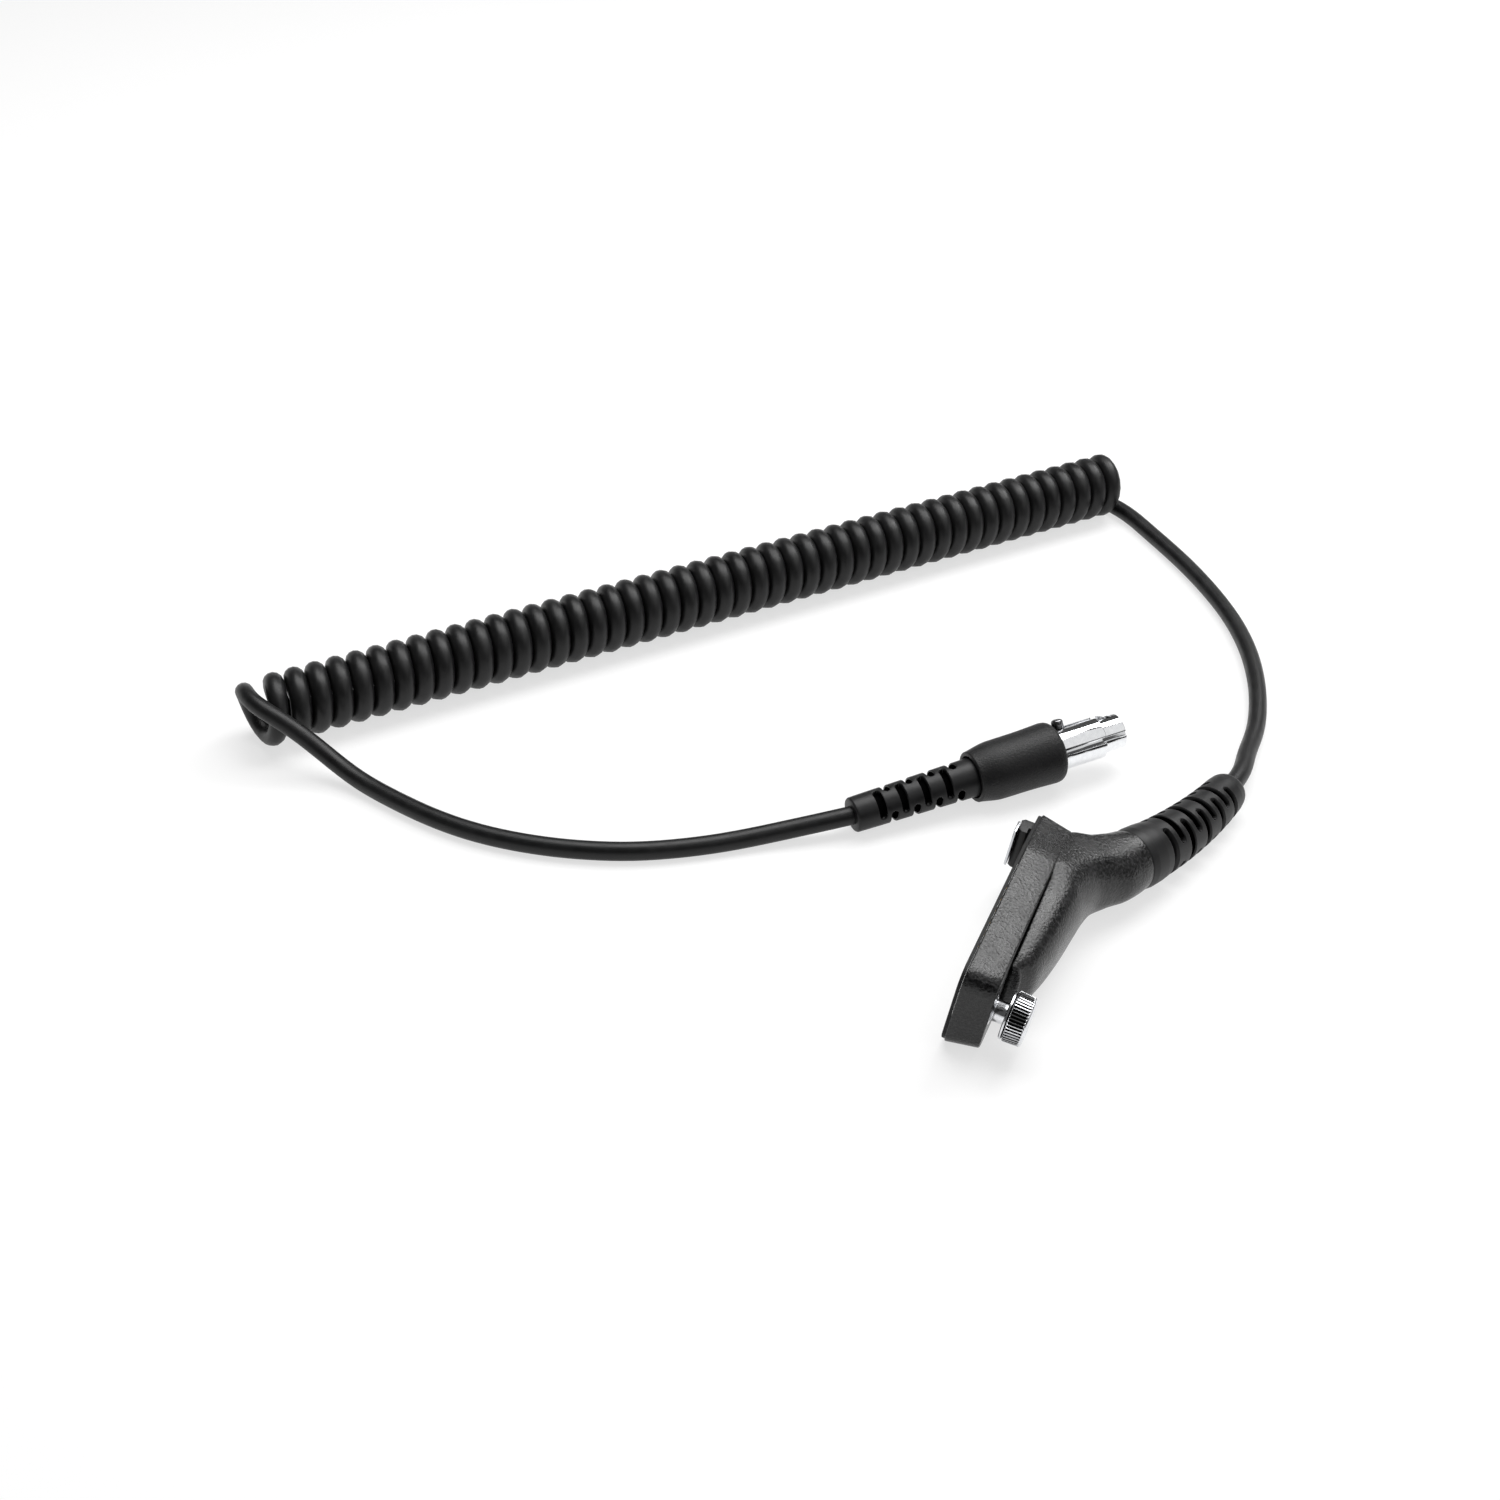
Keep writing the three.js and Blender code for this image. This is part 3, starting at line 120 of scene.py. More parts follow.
CONNECTOR = placed(
    CONNECTOR_AT,
    Matrix.Rotation(math.radians(HEADING), 4, "Z") @ Matrix.Rotation(-math.radians(HOOK_RISE), 4, "Y")
    @ Matrix.Rotation(math.radians(90 + LEAN), 4, "X"),
)
PLUG_RISE = math.atan2(COVER_R - BOOT_REAR_R, BOOT_LENGTH + COVER_WIDEST)
PLUG = placed(
    PLUG_AT,
    Matrix.Rotation(math.radians(PLUG_HEADING), 4, "Z") @ Matrix.Rotation(-PLUG_RISE, 4, "Y"),
)
AT_SCREW = CONNECTOR @ Matrix.Translation((SCREW_X, 0, 0))
EXIT_AT = Vector((COLLAR_X, 0, COLLAR_Z))


def relief_angle(s):
    """The strain relief's slope at s mm from the collar: it bends on from the neck."""
    share = min(s / RELIEF_LENGTH, 1)
    return math.radians(NECK_ANGLE + (RELIEF_END_ANGLE - NECK_ANGLE) * share)


def relief_point(s):
    steps, point = 24, EXIT_AT.copy()
    for i in range(steps):
        a = relief_angle((i + 0.5) / steps * s)
        point += Vector((math.cos(a), 0, math.sin(a))) * (s / steps)
    return point


def relief_frame(s):
    return Matrix.Translation(relief_point(s)) @ Matrix.Rotation(-relief_angle(s), 4, "Y")


# ---------- mesh helpers ----------

def put(name, verts, faces, where, sharp=None):
    """A mesh piece from points in a local frame (mm), placed in the row frame (m)."""
    mesh = bpy.data.meshes.new(name)
    points = np.asarray(verts, float).reshape(-1, 3)
    m = np.array(where)
    points = (points @ m[:3, :3].T + m[:3, 3]) * MM
    mesh.from_pydata(points.tolist(), [], [list(f) for f in faces])
    bm = bmesh.new()
    bm.from_mesh(mesh)
    bmesh.ops.recalc_face_normals(bm, faces=bm.faces)
    bm.to_mesh(mesh)
    bm.free()
    obj = bpy.data.objects.new(name, mesh)
    bpy.context.scene.collection.objects.link(obj)
    smooth(obj, sharp)
    return obj


def smooth(obj, sharp=None):
    obj.data.polygons.foreach_set("use_smooth", [True] * len(obj.data.polygons))
    if sharp is not None:
        obj.data.set_sharp_from_angle(angle=math.radians(sharp))
    obj.data.update()


def skin(name, rings, where, sharp=None, closed=False):
    """A skin over equal rings of points, with flat ends; closed joins the last ring to the first."""
    rings = np.asarray(rings, float)
    rows, cols = rings.shape[:2]
    faces = []
    for i in range(rows if closed else rows - 1):
        for k in range(cols):
            j, n = (i + 1) % rows, (k + 1) % cols
            faces.append((i * cols + k, i * cols + n, j * cols + n, j * cols + k))
    if not closed:
        faces.append(tuple(reversed(range(cols))))
        faces.append(tuple(range((rows - 1) * cols, rows * cols)))
    return put(name, rings, faces, where, sharp)


def lathe(name, profile, sides, where, axis="x", sharp=35.0, closed=False):
    """A turned body from (along, radius) pairs; closed joins the profile's end to its start."""
    a = np.arange(sides) * TAU / sides
    rings = []
    for along, radius in profile:
        c, s = radius * np.cos(a), radius * np.sin(a)
        x = np.full(sides, along)
        rings.append(np.stack([x, c, s] if axis == "x" else [c, s, x], 1))
    return skin(name, rings, where, sharp, closed)


def rounded(profile, radius, steps):
    """The same profile with its inner corners rounded."""
    points = [np.array(p, float) for p in profile]
    out = [points[0]]
    for a, b, c in zip(points, points[1:], points[2:]):
        ab, bc = np.linalg.norm(b - a), np.linalg.norm(c - b)
        r = min(radius, ab * 0.45, bc * 0.45)
        if r < 1e-4:
            out.append(b)
            continue
        start, end = b + (a - b) / ab * r, b + (c - b) / bc * r
        for t in np.linspace(0, 1, steps + 1):
            out.append((1 - t) ** 2 * start + 2 * t * (1 - t) * b + t ** 2 * end)
    out.append(points[-1])
    return [tuple(p) for p in out]


def block(name, low, high, where):
    x0, y0, z0 = low
    x1, y1, z1 = high
    verts = [(x, y, z) for x in (x0, x1) for y in (y0, y1) for z in (z0, z1)]
    faces = [(0, 1, 3, 2), (4, 6, 7, 5), (0, 4, 5, 1), (2, 3, 7, 6), (0, 2, 6, 4), (1, 5, 7, 3)]
    return put(name, verts, faces, where)


def prism(name, outline, low, high, where, plane="xy"):
    """An outline in a plane, drawn out along the third axis."""
    n = len(outline)
    verts = []
    for level in (low, high):
        for u, v in outline:
            verts.append((u, v, level) if plane == "xy" else (u, level, v))
    faces = [tuple(range(n)), tuple(range(n, 2 * n))]
    faces += [(k, (k + 1) % n, n + (k + 1) % n, n + k) for k in range(n)]
    return put(name, verts, faces, where)


def applied(obj):
    """Replaces the mesh by its evaluated form, so that no modifier is left."""
    graph = bpy.context.evaluated_depsgraph_get()
    mesh = bpy.data.meshes.new_from_object(obj.evaluated_get(graph))
    obj.modifiers.clear()
    obj.data = mesh


def soften(obj, width, segments=2, angle=30.0, sharp=40.0):
    """Rounds every edge sharper than angle over by width."""
    mod = obj.modifiers.new("edge", "BEVEL")
    mod.width = width * MM
    mod.segments = segments
    mod.limit_method = "ANGLE"
    mod.angle_limit = math.radians(angle)
    mod.harden_normals = False
    applied(obj)
    smooth(obj, sharp)
    return obj


def carve(obj, cutters, sharp):
    """Cuts the cutters out of the piece and removes them."""
    for cutter in cutters:
        mod = obj.modifiers.new("cut", "BOOLEAN")
        mod.operation = "DIFFERENCE"
        mod.solver = "EXACT"
        mod.object = cutter
    applied(obj)
    for cutter in cutters:
        bpy.data.objects.remove(cutter, do_unlink=True)
    smooth(obj, sharp)
    return obj


def join(name, objs):
    """One piece of several, in the row frame."""
    verts, faces, kinds, base = [], [], [], 0
    for o in objs:
        verts += [tuple(v.co) for v in o.data.vertices]
        kinds += [p.material_index for p in o.data.polygons]
        faces += [tuple(base + i for i in p.vertices) for p in o.data.polygons]
        base = len(verts)
    mesh = bpy.data.meshes.new(name)
    mesh.from_pydata(verts, [], faces)
    mesh.polygons.foreach_set("material_index", kinds)
    for o in objs:
        bpy.data.objects.remove(o, do_unlink=True)
    obj = bpy.data.objects.new(name, mesh)
    bpy.context.scene.collection.objects.link(obj)
    return obj


def slab_outline(half_x, half_y, corner, middle_x, steps=6):
    """A rectangle with round corners."""
    out = []
    for cx, cy, start in ((1, -1, -90), (1, 1, 0), (-1, 1, 90), (-1, -1, 180)):
        for i in range(steps + 1):
            a = math.radians(start + 90 * i / steps)
            out.append((middle_x + cx * (half_x - corner) + corner * math.cos(a),
                        cy * (half_y - corner) + corner * math.sin(a)))
    return out


# ---------- materials ----------

class Nodes:
    """A material's node tree, with short calls to add to it."""

    def __init__(self, name):
        self.material = bpy.data.materials.new(name)
        self.material.use_nodes = True
        self.tree = self.material.node_tree
        self.shader = self.tree.nodes["Principled BSDF"]
        coords = self.tree.nodes.new("ShaderNodeTexCoord")
        self.place = coords.outputs["Object"]

    def add(self, kind, **sockets):
        node = self.tree.nodes.new(kind)
        for key, value in sockets.items():
            self.feed(node.inputs[key.replace("_", " ")], value)
        return node

    def feed(self, socket, value):
        if isinstance(value, bpy.types.NodeSocket):
            self.tree.links.new(value, socket)
        else:
            socket.default_value = value

    def noise(self, scale, detail=3.0, rough=0.5):
        node = self.add(
            "ShaderNodeTexNoise", Vector=self.place, Scale=scale, Detail=detail, Roughness=rough)
        return node.outputs["Fac"]

    def cells(self, scale):
        node = self.add("ShaderNodeTexVoronoi", Vector=self.place, Scale=scale)
        node.feature = "SMOOTH_F1"
        return node.outputs["Distance"]

    def span(self, value, low, high):
        """A noise's middle values stretched to run from low to high."""
        node = self.tree.nodes.new("ShaderNodeMapRange")
        for key, item in (("Value", value), ("From Min", 0.3), ("From Max", 0.7),
                          ("To Min", low), ("To Max", high)):
            self.feed(node.inputs[key], item)
        return node.outputs["Result"]

    def mix(self, fac, a, b):
        node = self.tree.nodes.new("ShaderNodeMix")
        node.data_type = "RGBA"
        self.feed(node.inputs["Factor"], fac)
        self.feed(node.inputs["A"], (*a, 1) if isinstance(a, tuple) else a)
        self.feed(node.inputs["B"], (*b, 1) if isinstance(b, tuple) else b)
        return node.outputs["Result"]

    def bump(self, height, strength, distance, normal=None):
        node = self.add("ShaderNodeBump", Height=height, Strength=strength, Distance=distance)
        if normal is not None:
            self.feed(node.inputs["Normal"], normal)
        return node.outputs["Normal"]

    def finish(self, colour, rough, normal=None, metallic=0.0, specular=0.5):
        self.feed(self.shader.inputs["Base Color"], colour)
        self.feed(self.shader.inputs["Roughness"], rough)
        self.shader.inputs["Metallic"].default_value = metallic
        self.shader.inputs["Specular IOR Level"].default_value = specular
        if normal is not None:
            self.feed(self.shader.inputs["Normal"], normal)
        return self.material


def eroded_plastic(name, dark, light, rough, grain, depth, specular):
    """Moulded plastic with a spark-eroded skin."""
    n = Nodes(name)
    fine = n.noise(grain, 4.0, 0.62)
    cell = n.cells(grain)
    normal = n.bump(cell, 0.55, depth * MM)
    normal = n.bump(fine, 0.6, depth * MM, normal)
    colour = n.mix(n.span(cell, 0.0, 1.0), dark, light)
    worn = n.span(n.noise(140, 2.0), rough - 0.05, rough + 0.05)
    return n.finish(colour, worn, normal, 0.0, specular)


def smooth_rubber(name, dark, light, rough, specular=0.4, micro=5200.0):
    """Moulded rubber or soft plastic: nearly smooth, with faint flow marks."""
    n = Nodes(name)
    flow = n.noise(260, 3.0)
    fine = n.noise(micro, 3.0, 0.6)
    normal = n.bump(flow, 0.12, 0.06 * MM)
    normal = n.bump(fine, 0.25, 0.012 * MM, normal)
    colour = n.mix(n.span(flow, 0.0, 1.0), dark, light)
    return n.finish(colour, n.span(flow, rough - 0.05, rough + 0.06), normal, 0.0, specular)


def plated_metal(name, dark, light, rough):
    """Bright metal with a faint haze, which varies its colour and gloss."""
    n = Nodes(name)
    haze = n.noise(900.0, 4.0, 0.55)
    fine = n.noise(5400.0, 2.0)
    normal = n.bump(fine, 0.2, 0.004 * MM)
    colour = n.mix(n.span(haze, 0.0, 1.0), dark, light)
    return n.finish(colour, n.span(haze, rough * 0.7, rough * 1.35), normal, 1.0, 0.5)


def gasket_rubber(name):
    """Dull black rubber with a fine, even tooth."""
    n = Nodes(name)
    fine = n.noise(3000, 4.0, 0.6)
    colour = n.mix(n.span(fine, 0.0, 1.0), (0.008, 0.008, 0.0085), (0.014, 0.014, 0.0145))
    return n.finish(colour, n.span(fine, 0.55, 0.7), n.bump(fine, 0.3, 0.02 * MM), 0.0, 0.3)


HOUSING = eroded_plastic(
    "housing_plastic", (0.0, 0.0, 0.0), (0.028, 0.028, 0.0288),
    rough=0.26, grain=1900.0, depth=0.13, specular=0.44)
END_SMOOTH = eroded_plastic(
    "insulator_plastic", (0.006, 0.006, 0.0065), (0.01, 0.01, 0.0105),
    rough=0.42, grain=4000.0, depth=0.02, specular=0.3)
COVER = eroded_plastic(
    "cover_plastic", (0.006, 0.006, 0.0065), (0.012, 0.012, 0.0125),
    rough=0.46, grain=3000.0, depth=0.14, specular=0.32)
RELIEF = smooth_rubber("relief_rubber", (0.006, 0.006, 0.0065), (0.011, 0.011, 0.0115), 0.44, 0.34)
JACKET = smooth_rubber(
    "cord_jacket", (0.005, 0.005, 0.0053), (0.009, 0.009, 0.0095), 0.42, 0.36, 4200.0)
# near-black painted shade for the inside of the slots, darker than the lamps alone make them
PAINTED_SLOT_SHADE = smooth_rubber("slot_painted_shade", (0.0015, 0.0015, 0.0016), (0.0025, 0.0025, 0.0026), 0.7, 0.0)
GASKET = gasket_rubber("gasket_rubber")
BOARD = smooth_rubber("board_green", (0.01, 0.05, 0.018), (0.015, 0.075, 0.026), 0.4)
CHROME = plated_metal("chrome", (0.8, 0.81, 0.83), (0.9, 0.91, 0.92), 0.07)
DARK_CHROME = plated_metal("dark_chrome", (0.66, 0.67, 0.69), (0.86, 0.87, 0.89), 0.16)
# near-black painted shade for the knurl's grooves and the turned groove of the thumbscrew
PAINTED_KNURL_SHADE = plated_metal("knurl_painted_shade", (0.004, 0.004, 0.0045), (0.015, 0.015, 0.016), 0.4)
KNOB = plated_metal("latch_knob", (0.14, 0.14, 0.145), (0.24, 0.24, 0.25), 0.2)
STEEL = plated_metal("steel", (0.5, 0.51, 0.53), (0.68, 0.69, 0.71), 0.32)
GOLD = plated_metal("gold", (0.72, 0.5, 0.2), (0.86, 0.62, 0.27), 0.18)
BRASS = plated_metal("brass", (0.5, 0.38, 0.16), (0.62, 0.5, 0.24), 0.3)


def dress(obj, *materials):
    """Gives the object its materials, and keeps which face has which."""
    kinds = [p.material_index for p in obj.data.polygons] if obj.type == "MESH" else []
    obj.data.materials.clear()
    for material in materials:
        obj.data.materials.append(material)
    if kinds and len(materials) > 1:
        obj.data.polygons.foreach_set("material_index", kinds)


def piece(obj, material, body, slot, *nodes):
    """A piece in one material, or in a tuple of them, that rides on a body and stands for nodes."""
    dress(obj, *(material if isinstance(material, tuple) else (material,)))
    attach(obj, body)
    if nodes:
        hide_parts(*nodes)


# ---------- camera ----------

CAMERA_LOOKS_DOWN = 35.04
camera_data = bpy.data.cameras.new("camera")
camera_data.lens = 48.0
camera_data.sensor_width = 36.0
camera_data.clip_start = 0.01
camera_data.clip_end = 50.0
camera = bpy.data.objects.new("camera", camera_data)
camera.location = (-0.07538, -0.32882, 0.2763)
camera.rotation_euler = (math.radians(90 - CAMERA_LOOKS_DOWN), 0, 0)
bpy.context.scene.collection.objects.link(camera)
bpy.context.scene.camera = camera


# ---------- the cord ----------

def centripetal(points, spacing):
    """Points along a centripetal Catmull-Rom curve, as the drawing's leads follow it."""
    pts = [np.array(p, float) for p in points]
    out = []
    for i in range(len(pts) - 1):
        p1, p2 = pts[i], pts[i + 1]
        p0 = pts[i - 1] if i else 2 * p1 - p2
        p3 = pts[i + 2] if i + 2 < len(pts) else 2 * p2 - p1
        d0, d1, d2 = (np.linalg.norm(b - a) ** 0.5 for a, b in ((p0, p1), (p1, p2), (p2, p3)))
        t1 = ((p1 - p0) / d0 - (p2 - p0) / (d0 + d1) + (p2 - p1) / d1) * d1
        t2 = ((p2 - p1) / d1 - (p3 - p1) / (d1 + d2) + (p3 - p2) / d2) * d1
        steps = max(2, int(np.linalg.norm(p2 - p1) / spacing))
        for t in np.arange(steps) / steps:
            out.append(p1 + t1 * t + (3 * (p2 - p1) - 2 * t1 - t2) * t ** 2
                       + (2 * (p1 - p2) + t1 + t2) * t ** 3)
    out.append(pts[-1])
    return out


coil_along = np.array([math.cos(math.radians(COIL_HEADING)), math.sin(math.radians(COIL_HEADING)), 0])
coil_front = np.array([coil_along[1], -coil_along[0], 0])
coil_up = np.array([0, 0, 1.0])


def swell(turn):
    """How much of its extra thickness the cord has at a turn, from 0 to 1."""
    from_left = (turn + 0.5) / SWELL_RAMP
    from_right = (COIL_TURNS + 0.2 - turn) / SWELL_RAMP
    return min(max(from_left, 0), 1) * min(max(from_right, 0), 1)


def coil_point(turn):
    angle = TAU * turn + math.pi / 2
    pitch = COIL_LOOSE_PITCH if turn < 0 else COIL_PITCH
    radius = COIL_R - COIL_SWELL * swell(turn)
    return (np.array([*COIL_START, COIL_OUTER_R]) + coil_along * turn * pitch
            + coil_front * radius * math.cos(angle) + coil_up * radius * math.sin(angle))


def coil_direction(turn):
    angle = TAU * turn + math.pi / 2
    pitch = COIL_LOOSE_PITCH if turn < 0 else COIL_PITCH
    d = (coil_along * pitch / TAU - coil_front * COIL_R * math.sin(angle)
         + coil_up * COIL_R * math.cos(angle))
    return d / np.linalg.norm(d)


def cord_route():
    """The cord's points from relief to boot, the number before the winding, the winding's turns, and
    the point where the cord leaves the relief."""
    a = relief_angle(RELIEF_LENGTH)
    relief_end = np.array(CONNECTOR @ relief_point(RELIEF_LENGTH))
    relief_out = np.array(CONNECTOR.to_3x3() @ Vector((math.cos(a), 0, math.sin(a))))
    boot_end = np.array(PLUG.translation)
    boot_out = np.array(PLUG.to_3x3() @ Vector((-1, 0, 0)))
    right_way, left_way = coil_direction(LAST_TURN), coil_direction(FIRST_TURN)
    tail_right = coil_point(LAST_TURN) + right_way * COIL_TAIL
    tail_left = coil_point(FIRST_TURN) - left_way * COIL_TAIL
    right = centripetal(
        [relief_end + relief_out * SEAT, relief_end + relief_out * (SEAT + LEAD_STRAIGHT)]
        + CONNECTOR_LEAD_ROUTE + [tail_right + right_way * TAIL_STRAIGHT, tail_right], LEAD_STEP)
    left = centripetal(
        [tail_left, tail_left - left_way * TAIL_STRAIGHT] + PLUG_LEAD_ROUTE
        + [boot_end + boot_out * (SEAT + LEAD_STRAIGHT), boot_end + boot_out * SEAT], LEAD_STEP)
    turns = np.arange(LAST_TURN, FIRST_TURN - 1e-6, -1 / TURN_STEPS)
    route = [relief_end - relief_out * LEAD_HELD] + right + [coil_point(t) for t in turns]
    route += left + [boot_end - boot_out * LEAD_HELD]
    return np.array(route), len(right) + 1, turns, relief_end


SMOOTH_ROUNDS, SMOOTH_FADE, TAIL_REACH, BOOT_REACH = 30, 12, 4.5, 3.0


def without_kinks(route, first, last):
    """The route without corners in its leads; first and last are the winding's end points.

    The corners at the left tail and at the boot are drawn in. Then the leads and the ends of the
    winding are smoothed in and out by turns, which keeps their bends."""
    index = np.arange(len(route))
    inward = np.minimum(index - first, last - index)
    leads = np.clip(1 - inward / SMOOTH_FADE, 0, 1)
    leads[:2] = leads[-2:] = 0
    tail = np.exp(-((index - (last + 4)) / TAIL_REACH) ** 2)
    boot = np.exp(-((index - (len(route) - 4)) / BOOT_REACH) ** 2)
    drawn_in, in_and_out = [(0.5, tail + boot)], [(0.5, leads), (-0.52, leads)]
    for share, weight in drawn_in * SMOOTH_ROUNDS + in_and_out * SMOOTH_ROUNDS:
        mid = (route[:-2] + route[2:]) / 2
        route[1:-1] += (mid - route[1:-1]) * (weight * leads)[1:-1, None] * share
    route[:, 2] = np.maximum(route[:, 2], CORD_R)
    return route


def make_cord():
    route, wound_from, turns, relief_end = cord_route()
    wound_to = wound_from + len(turns)
    route = without_kinks(route, wound_from, wound_to - 1)
    curve = bpy.data.curves.new("cord", "CURVE")
    curve.dimensions = "3D"
    curve.bevel_depth = CORD_R * MM
    curve.bevel_resolution = 5
    curve.use_fill_caps = True
    curve.twist_mode = "MINIMUM"
    spline = curve.splines.new("POLY")
    spline.points.add(len(route) - 1)
    co = np.ones((len(route), 4))
    co[:, :3] = route * MM
    spline.points.foreach_set("co", co.ravel())
    thick = np.ones(len(route))
    thick[wound_from:wound_to] += [COIL_SWELL / CORD_R * swell(t) for t in turns]
    spline.points.foreach_set("radius", thick)
    spline.use_smooth = True
    obj = bpy.data.objects.new("cord", curve)
    bpy.context.scene.collection.objects.link(obj)
    length = float(np.linalg.norm(np.diff(route, axis=0), axis=1).sum()) * MM
    return obj, length, [float(x) * MM for x in relief_end]


cord_piece, cord_length, cord_exit = make_cord()
piece(cord_piece, JACKET, "cable", "cord_jacket", "curly_cord", "lead_connector", "lead_plug")


# ---------- side connector ----------

def plate_ring(end_inset, side_inset, z):
    """The plate's outline, moved in at its ends and sides, at a height."""
    half, tip = PLATE_HALF - side_inset, SHOULDER_HALF - side_inset
    low, high = end_inset, PLATE_LENGTH - end_inset
    corner, rnd = PLATE_CORNER, SHOULDER_ROUND
    pts = []

    def arc(cx, cy, r, a0, a1, n):
        for i in range(n + 1):
            a = math.radians(a0 + (a1 - a0) * i / n)
            pts.append((cx + r * math.cos(a), cy + r * math.sin(a)))

    slope = math.degrees(math.atan2(half - tip, high - rnd - SHOULDER_X))
    arc(low + corner, -half + corner, corner, 180, 270, 14)
    for x in np.linspace(low + corner, SHOULDER_X - 1, 10)[1:]:
        pts.append((x, -half))
    for x in np.linspace(SHOULDER_X, high - rnd, 5):
        pts.append((x, -half + (x - SHOULDER_X) * math.tan(math.radians(slope))))
    arc(high - rnd, -tip + rnd, rnd, -90 + slope, 0, 5)
    arc(high - rnd, tip - rnd, rnd, 0, 90 - slope, 5)
    for x in np.linspace(high - rnd, SHOULDER_X, 5):
        pts.append((x, half - (x - SHOULDER_X) * math.tan(math.radians(slope))))
    for x in np.linspace(SHOULDER_X - 1, low + corner, 10)[:-1]:
        pts.append((x, half))
    arc(low + corner, half - corner, corner, 90, 180, 14)
    clean = [pts[0]]
    for p in pts[1:]:
        if math.dist(p, clean[-1]) > 0.02:
            clean.append(p)
    if math.dist(clean[0], clean[-1]) < 0.02:
        clean.pop()
    return [(x, y, z) for x, y in clean]


def side_rows(edge, steps=4):
    """(height, inward step) of the plate's wall, from the mating face to its back."""
    turned = []
    for i in range(steps + 1):
        a = math.pi / 2 * i / steps
        turned.append((edge * (1 - math.sin(a)), edge * (1 - math.cos(a))))
    walls = [(z, 0.0) for z in (1.6, 3.2, 4.8)]
    return turned[::-1] + walls + [(PLATE_THICK - z, step) for z, step in turned]


def make_plate():
    rings = []
    for z, step in side_rows(PLATE_EDGE):
        share = z / PLATE_THICK
        broken = plate_ring(END_DRAFT * share + step, SIDE_DRAFT * share + step, z)
        if z > PLATE_THICK / 2:
            # the shoulders run on into the neck, with hardly an edge
            crisp = plate_ring(END_DRAFT * share + step * 0.1, SIDE_DRAFT * share + step * 0.1, z)
            broken = [c if c[0] > SHOULDER_X + 0.3 else b for b, c in zip(broken, crisp)]
        rings.append(broken)
    obj = skin("side_plate", rings, CONNECTOR)
    pocket_half_y = PLATE_HALF - SIDE_DRAFT - PLATE_WALL
    pocket = slab_outline(POCKET_HALF_X, pocket_half_y, POCKET_CORNER, BLOCK_X)
    window = slab_outline(WINDOW_HALF_X, WINDOW_HALF_Y, POCKET_CORNER, BLOCK_X)
    return carve(obj, [
        prism("cut", pocket, PLATE_WALL, PLATE_THICK + 1, CONNECTOR),
        prism("cut", window, -1, PLATE_THICK, CONNECTOR),
        lathe("cut", [(2.9, BUSH_R + 0.1), (PLATE_THICK + 1, BUSH_R + 0.1)], 64, AT_SCREW, "z"),
        lathe("cut", [(-1, SCREW_HOLE_R), (3.4, SCREW_HOLE_R)], 64, AT_SCREW, "z"),
    ], 30)


piece(make_plate(), HOUSING, "cable", "housing_plastic", "connector_plate")


def curve_through(knots, values, at):
    """The values at some places along a monotone cubic that goes through them at the knots."""
    x, y = np.asarray(knots, float), np.asarray(values, float)
    h, d = np.diff(x), np.diff(y, axis=0) / np.diff(x)[:, None]
    m = np.zeros_like(y)
    m[0], m[-1] = d[0], d[-1]
    same = d[:-1] * d[1:] > 0
    w1, w2 = (2 * h[1:] + h[:-1])[:, None], (h[1:] + 2 * h[:-1])[:, None]
    with np.errstate(divide="ignore", invalid="ignore"):
        inner = (w1 + w2) / (w1 / d[:-1] + w2 / d[1:])
    m[1:-1] = np.where(same, inner, 0)
    k = np.clip(np.searchsorted(x, at) - 1, 0, len(x) - 2)
    t = ((at - x[k]) / h[k])[:, None]
    hk = h[k][:, None]
    return ((2 * t**3 - 3 * t**2 + 1) * y[k] + (t**3 - 2 * t**2 + t) * hk * m[k]
            + (-2 * t**3 + 3 * t**2) * y[k + 1] + (t**3 - t**2) * hk * m[k + 1])


# The housing's rings from its low end to the neck: lower and upper middle point as x and z, half
# width, squareness below and above the widest place, that place's height, draw-in of the foot, and
# slope at the ridge.
HOUSING_ROWS = [
    (12.6, 6.9, 13.2, 9.9, 6.1, 5, 2.6, 0.2, 0, 0),
    (15, 6.9, 15.4, 12.2, 6.88, 5, 2.6, 0.18, 0, 0),
    (20, 6.9, 20.2, 13.6, 7.68, 5, 2.6, 0.16, 0, 0),
    (30, 6.9, 30, 15.1, 8.7, 6, 2.6, 0.14, 0, 0),
    (38, 6.8, 37.4, 15.8, 9.2, 6, 2.6, 0.14, 0, 0),
    (43.5, 6.5, 41.6, 16.3, 9.38, 14, 2.5, 0.18, 0, 8),
    (50.5, 6.4, 46.6, 17.5, 8.5, 26, 2.3, 0.44, 0.04, 14),
    (57.6, 6.6, 51, 20.5, 7.7, 22, 2.2, 0.58, 0.11, 14),
    (60.6, 10.5, 54.6, 23.7, 7.1, 8, 2.1, 0.52, 0.07, 9),
    (64.2, 12.9, 58, 25.5, 6.85, 3.4, 2, 0.5, 0.02, 4),
]
HOUSING_ROUND, HOUSING_SIDES, HOUSING_STEPS = 1.2, 120, 110


def bulge(value, power):
    """A sine or cosine turned into a squarer oval's, by its power."""
    return math.copysign(abs(value) ** (2 / power), value)


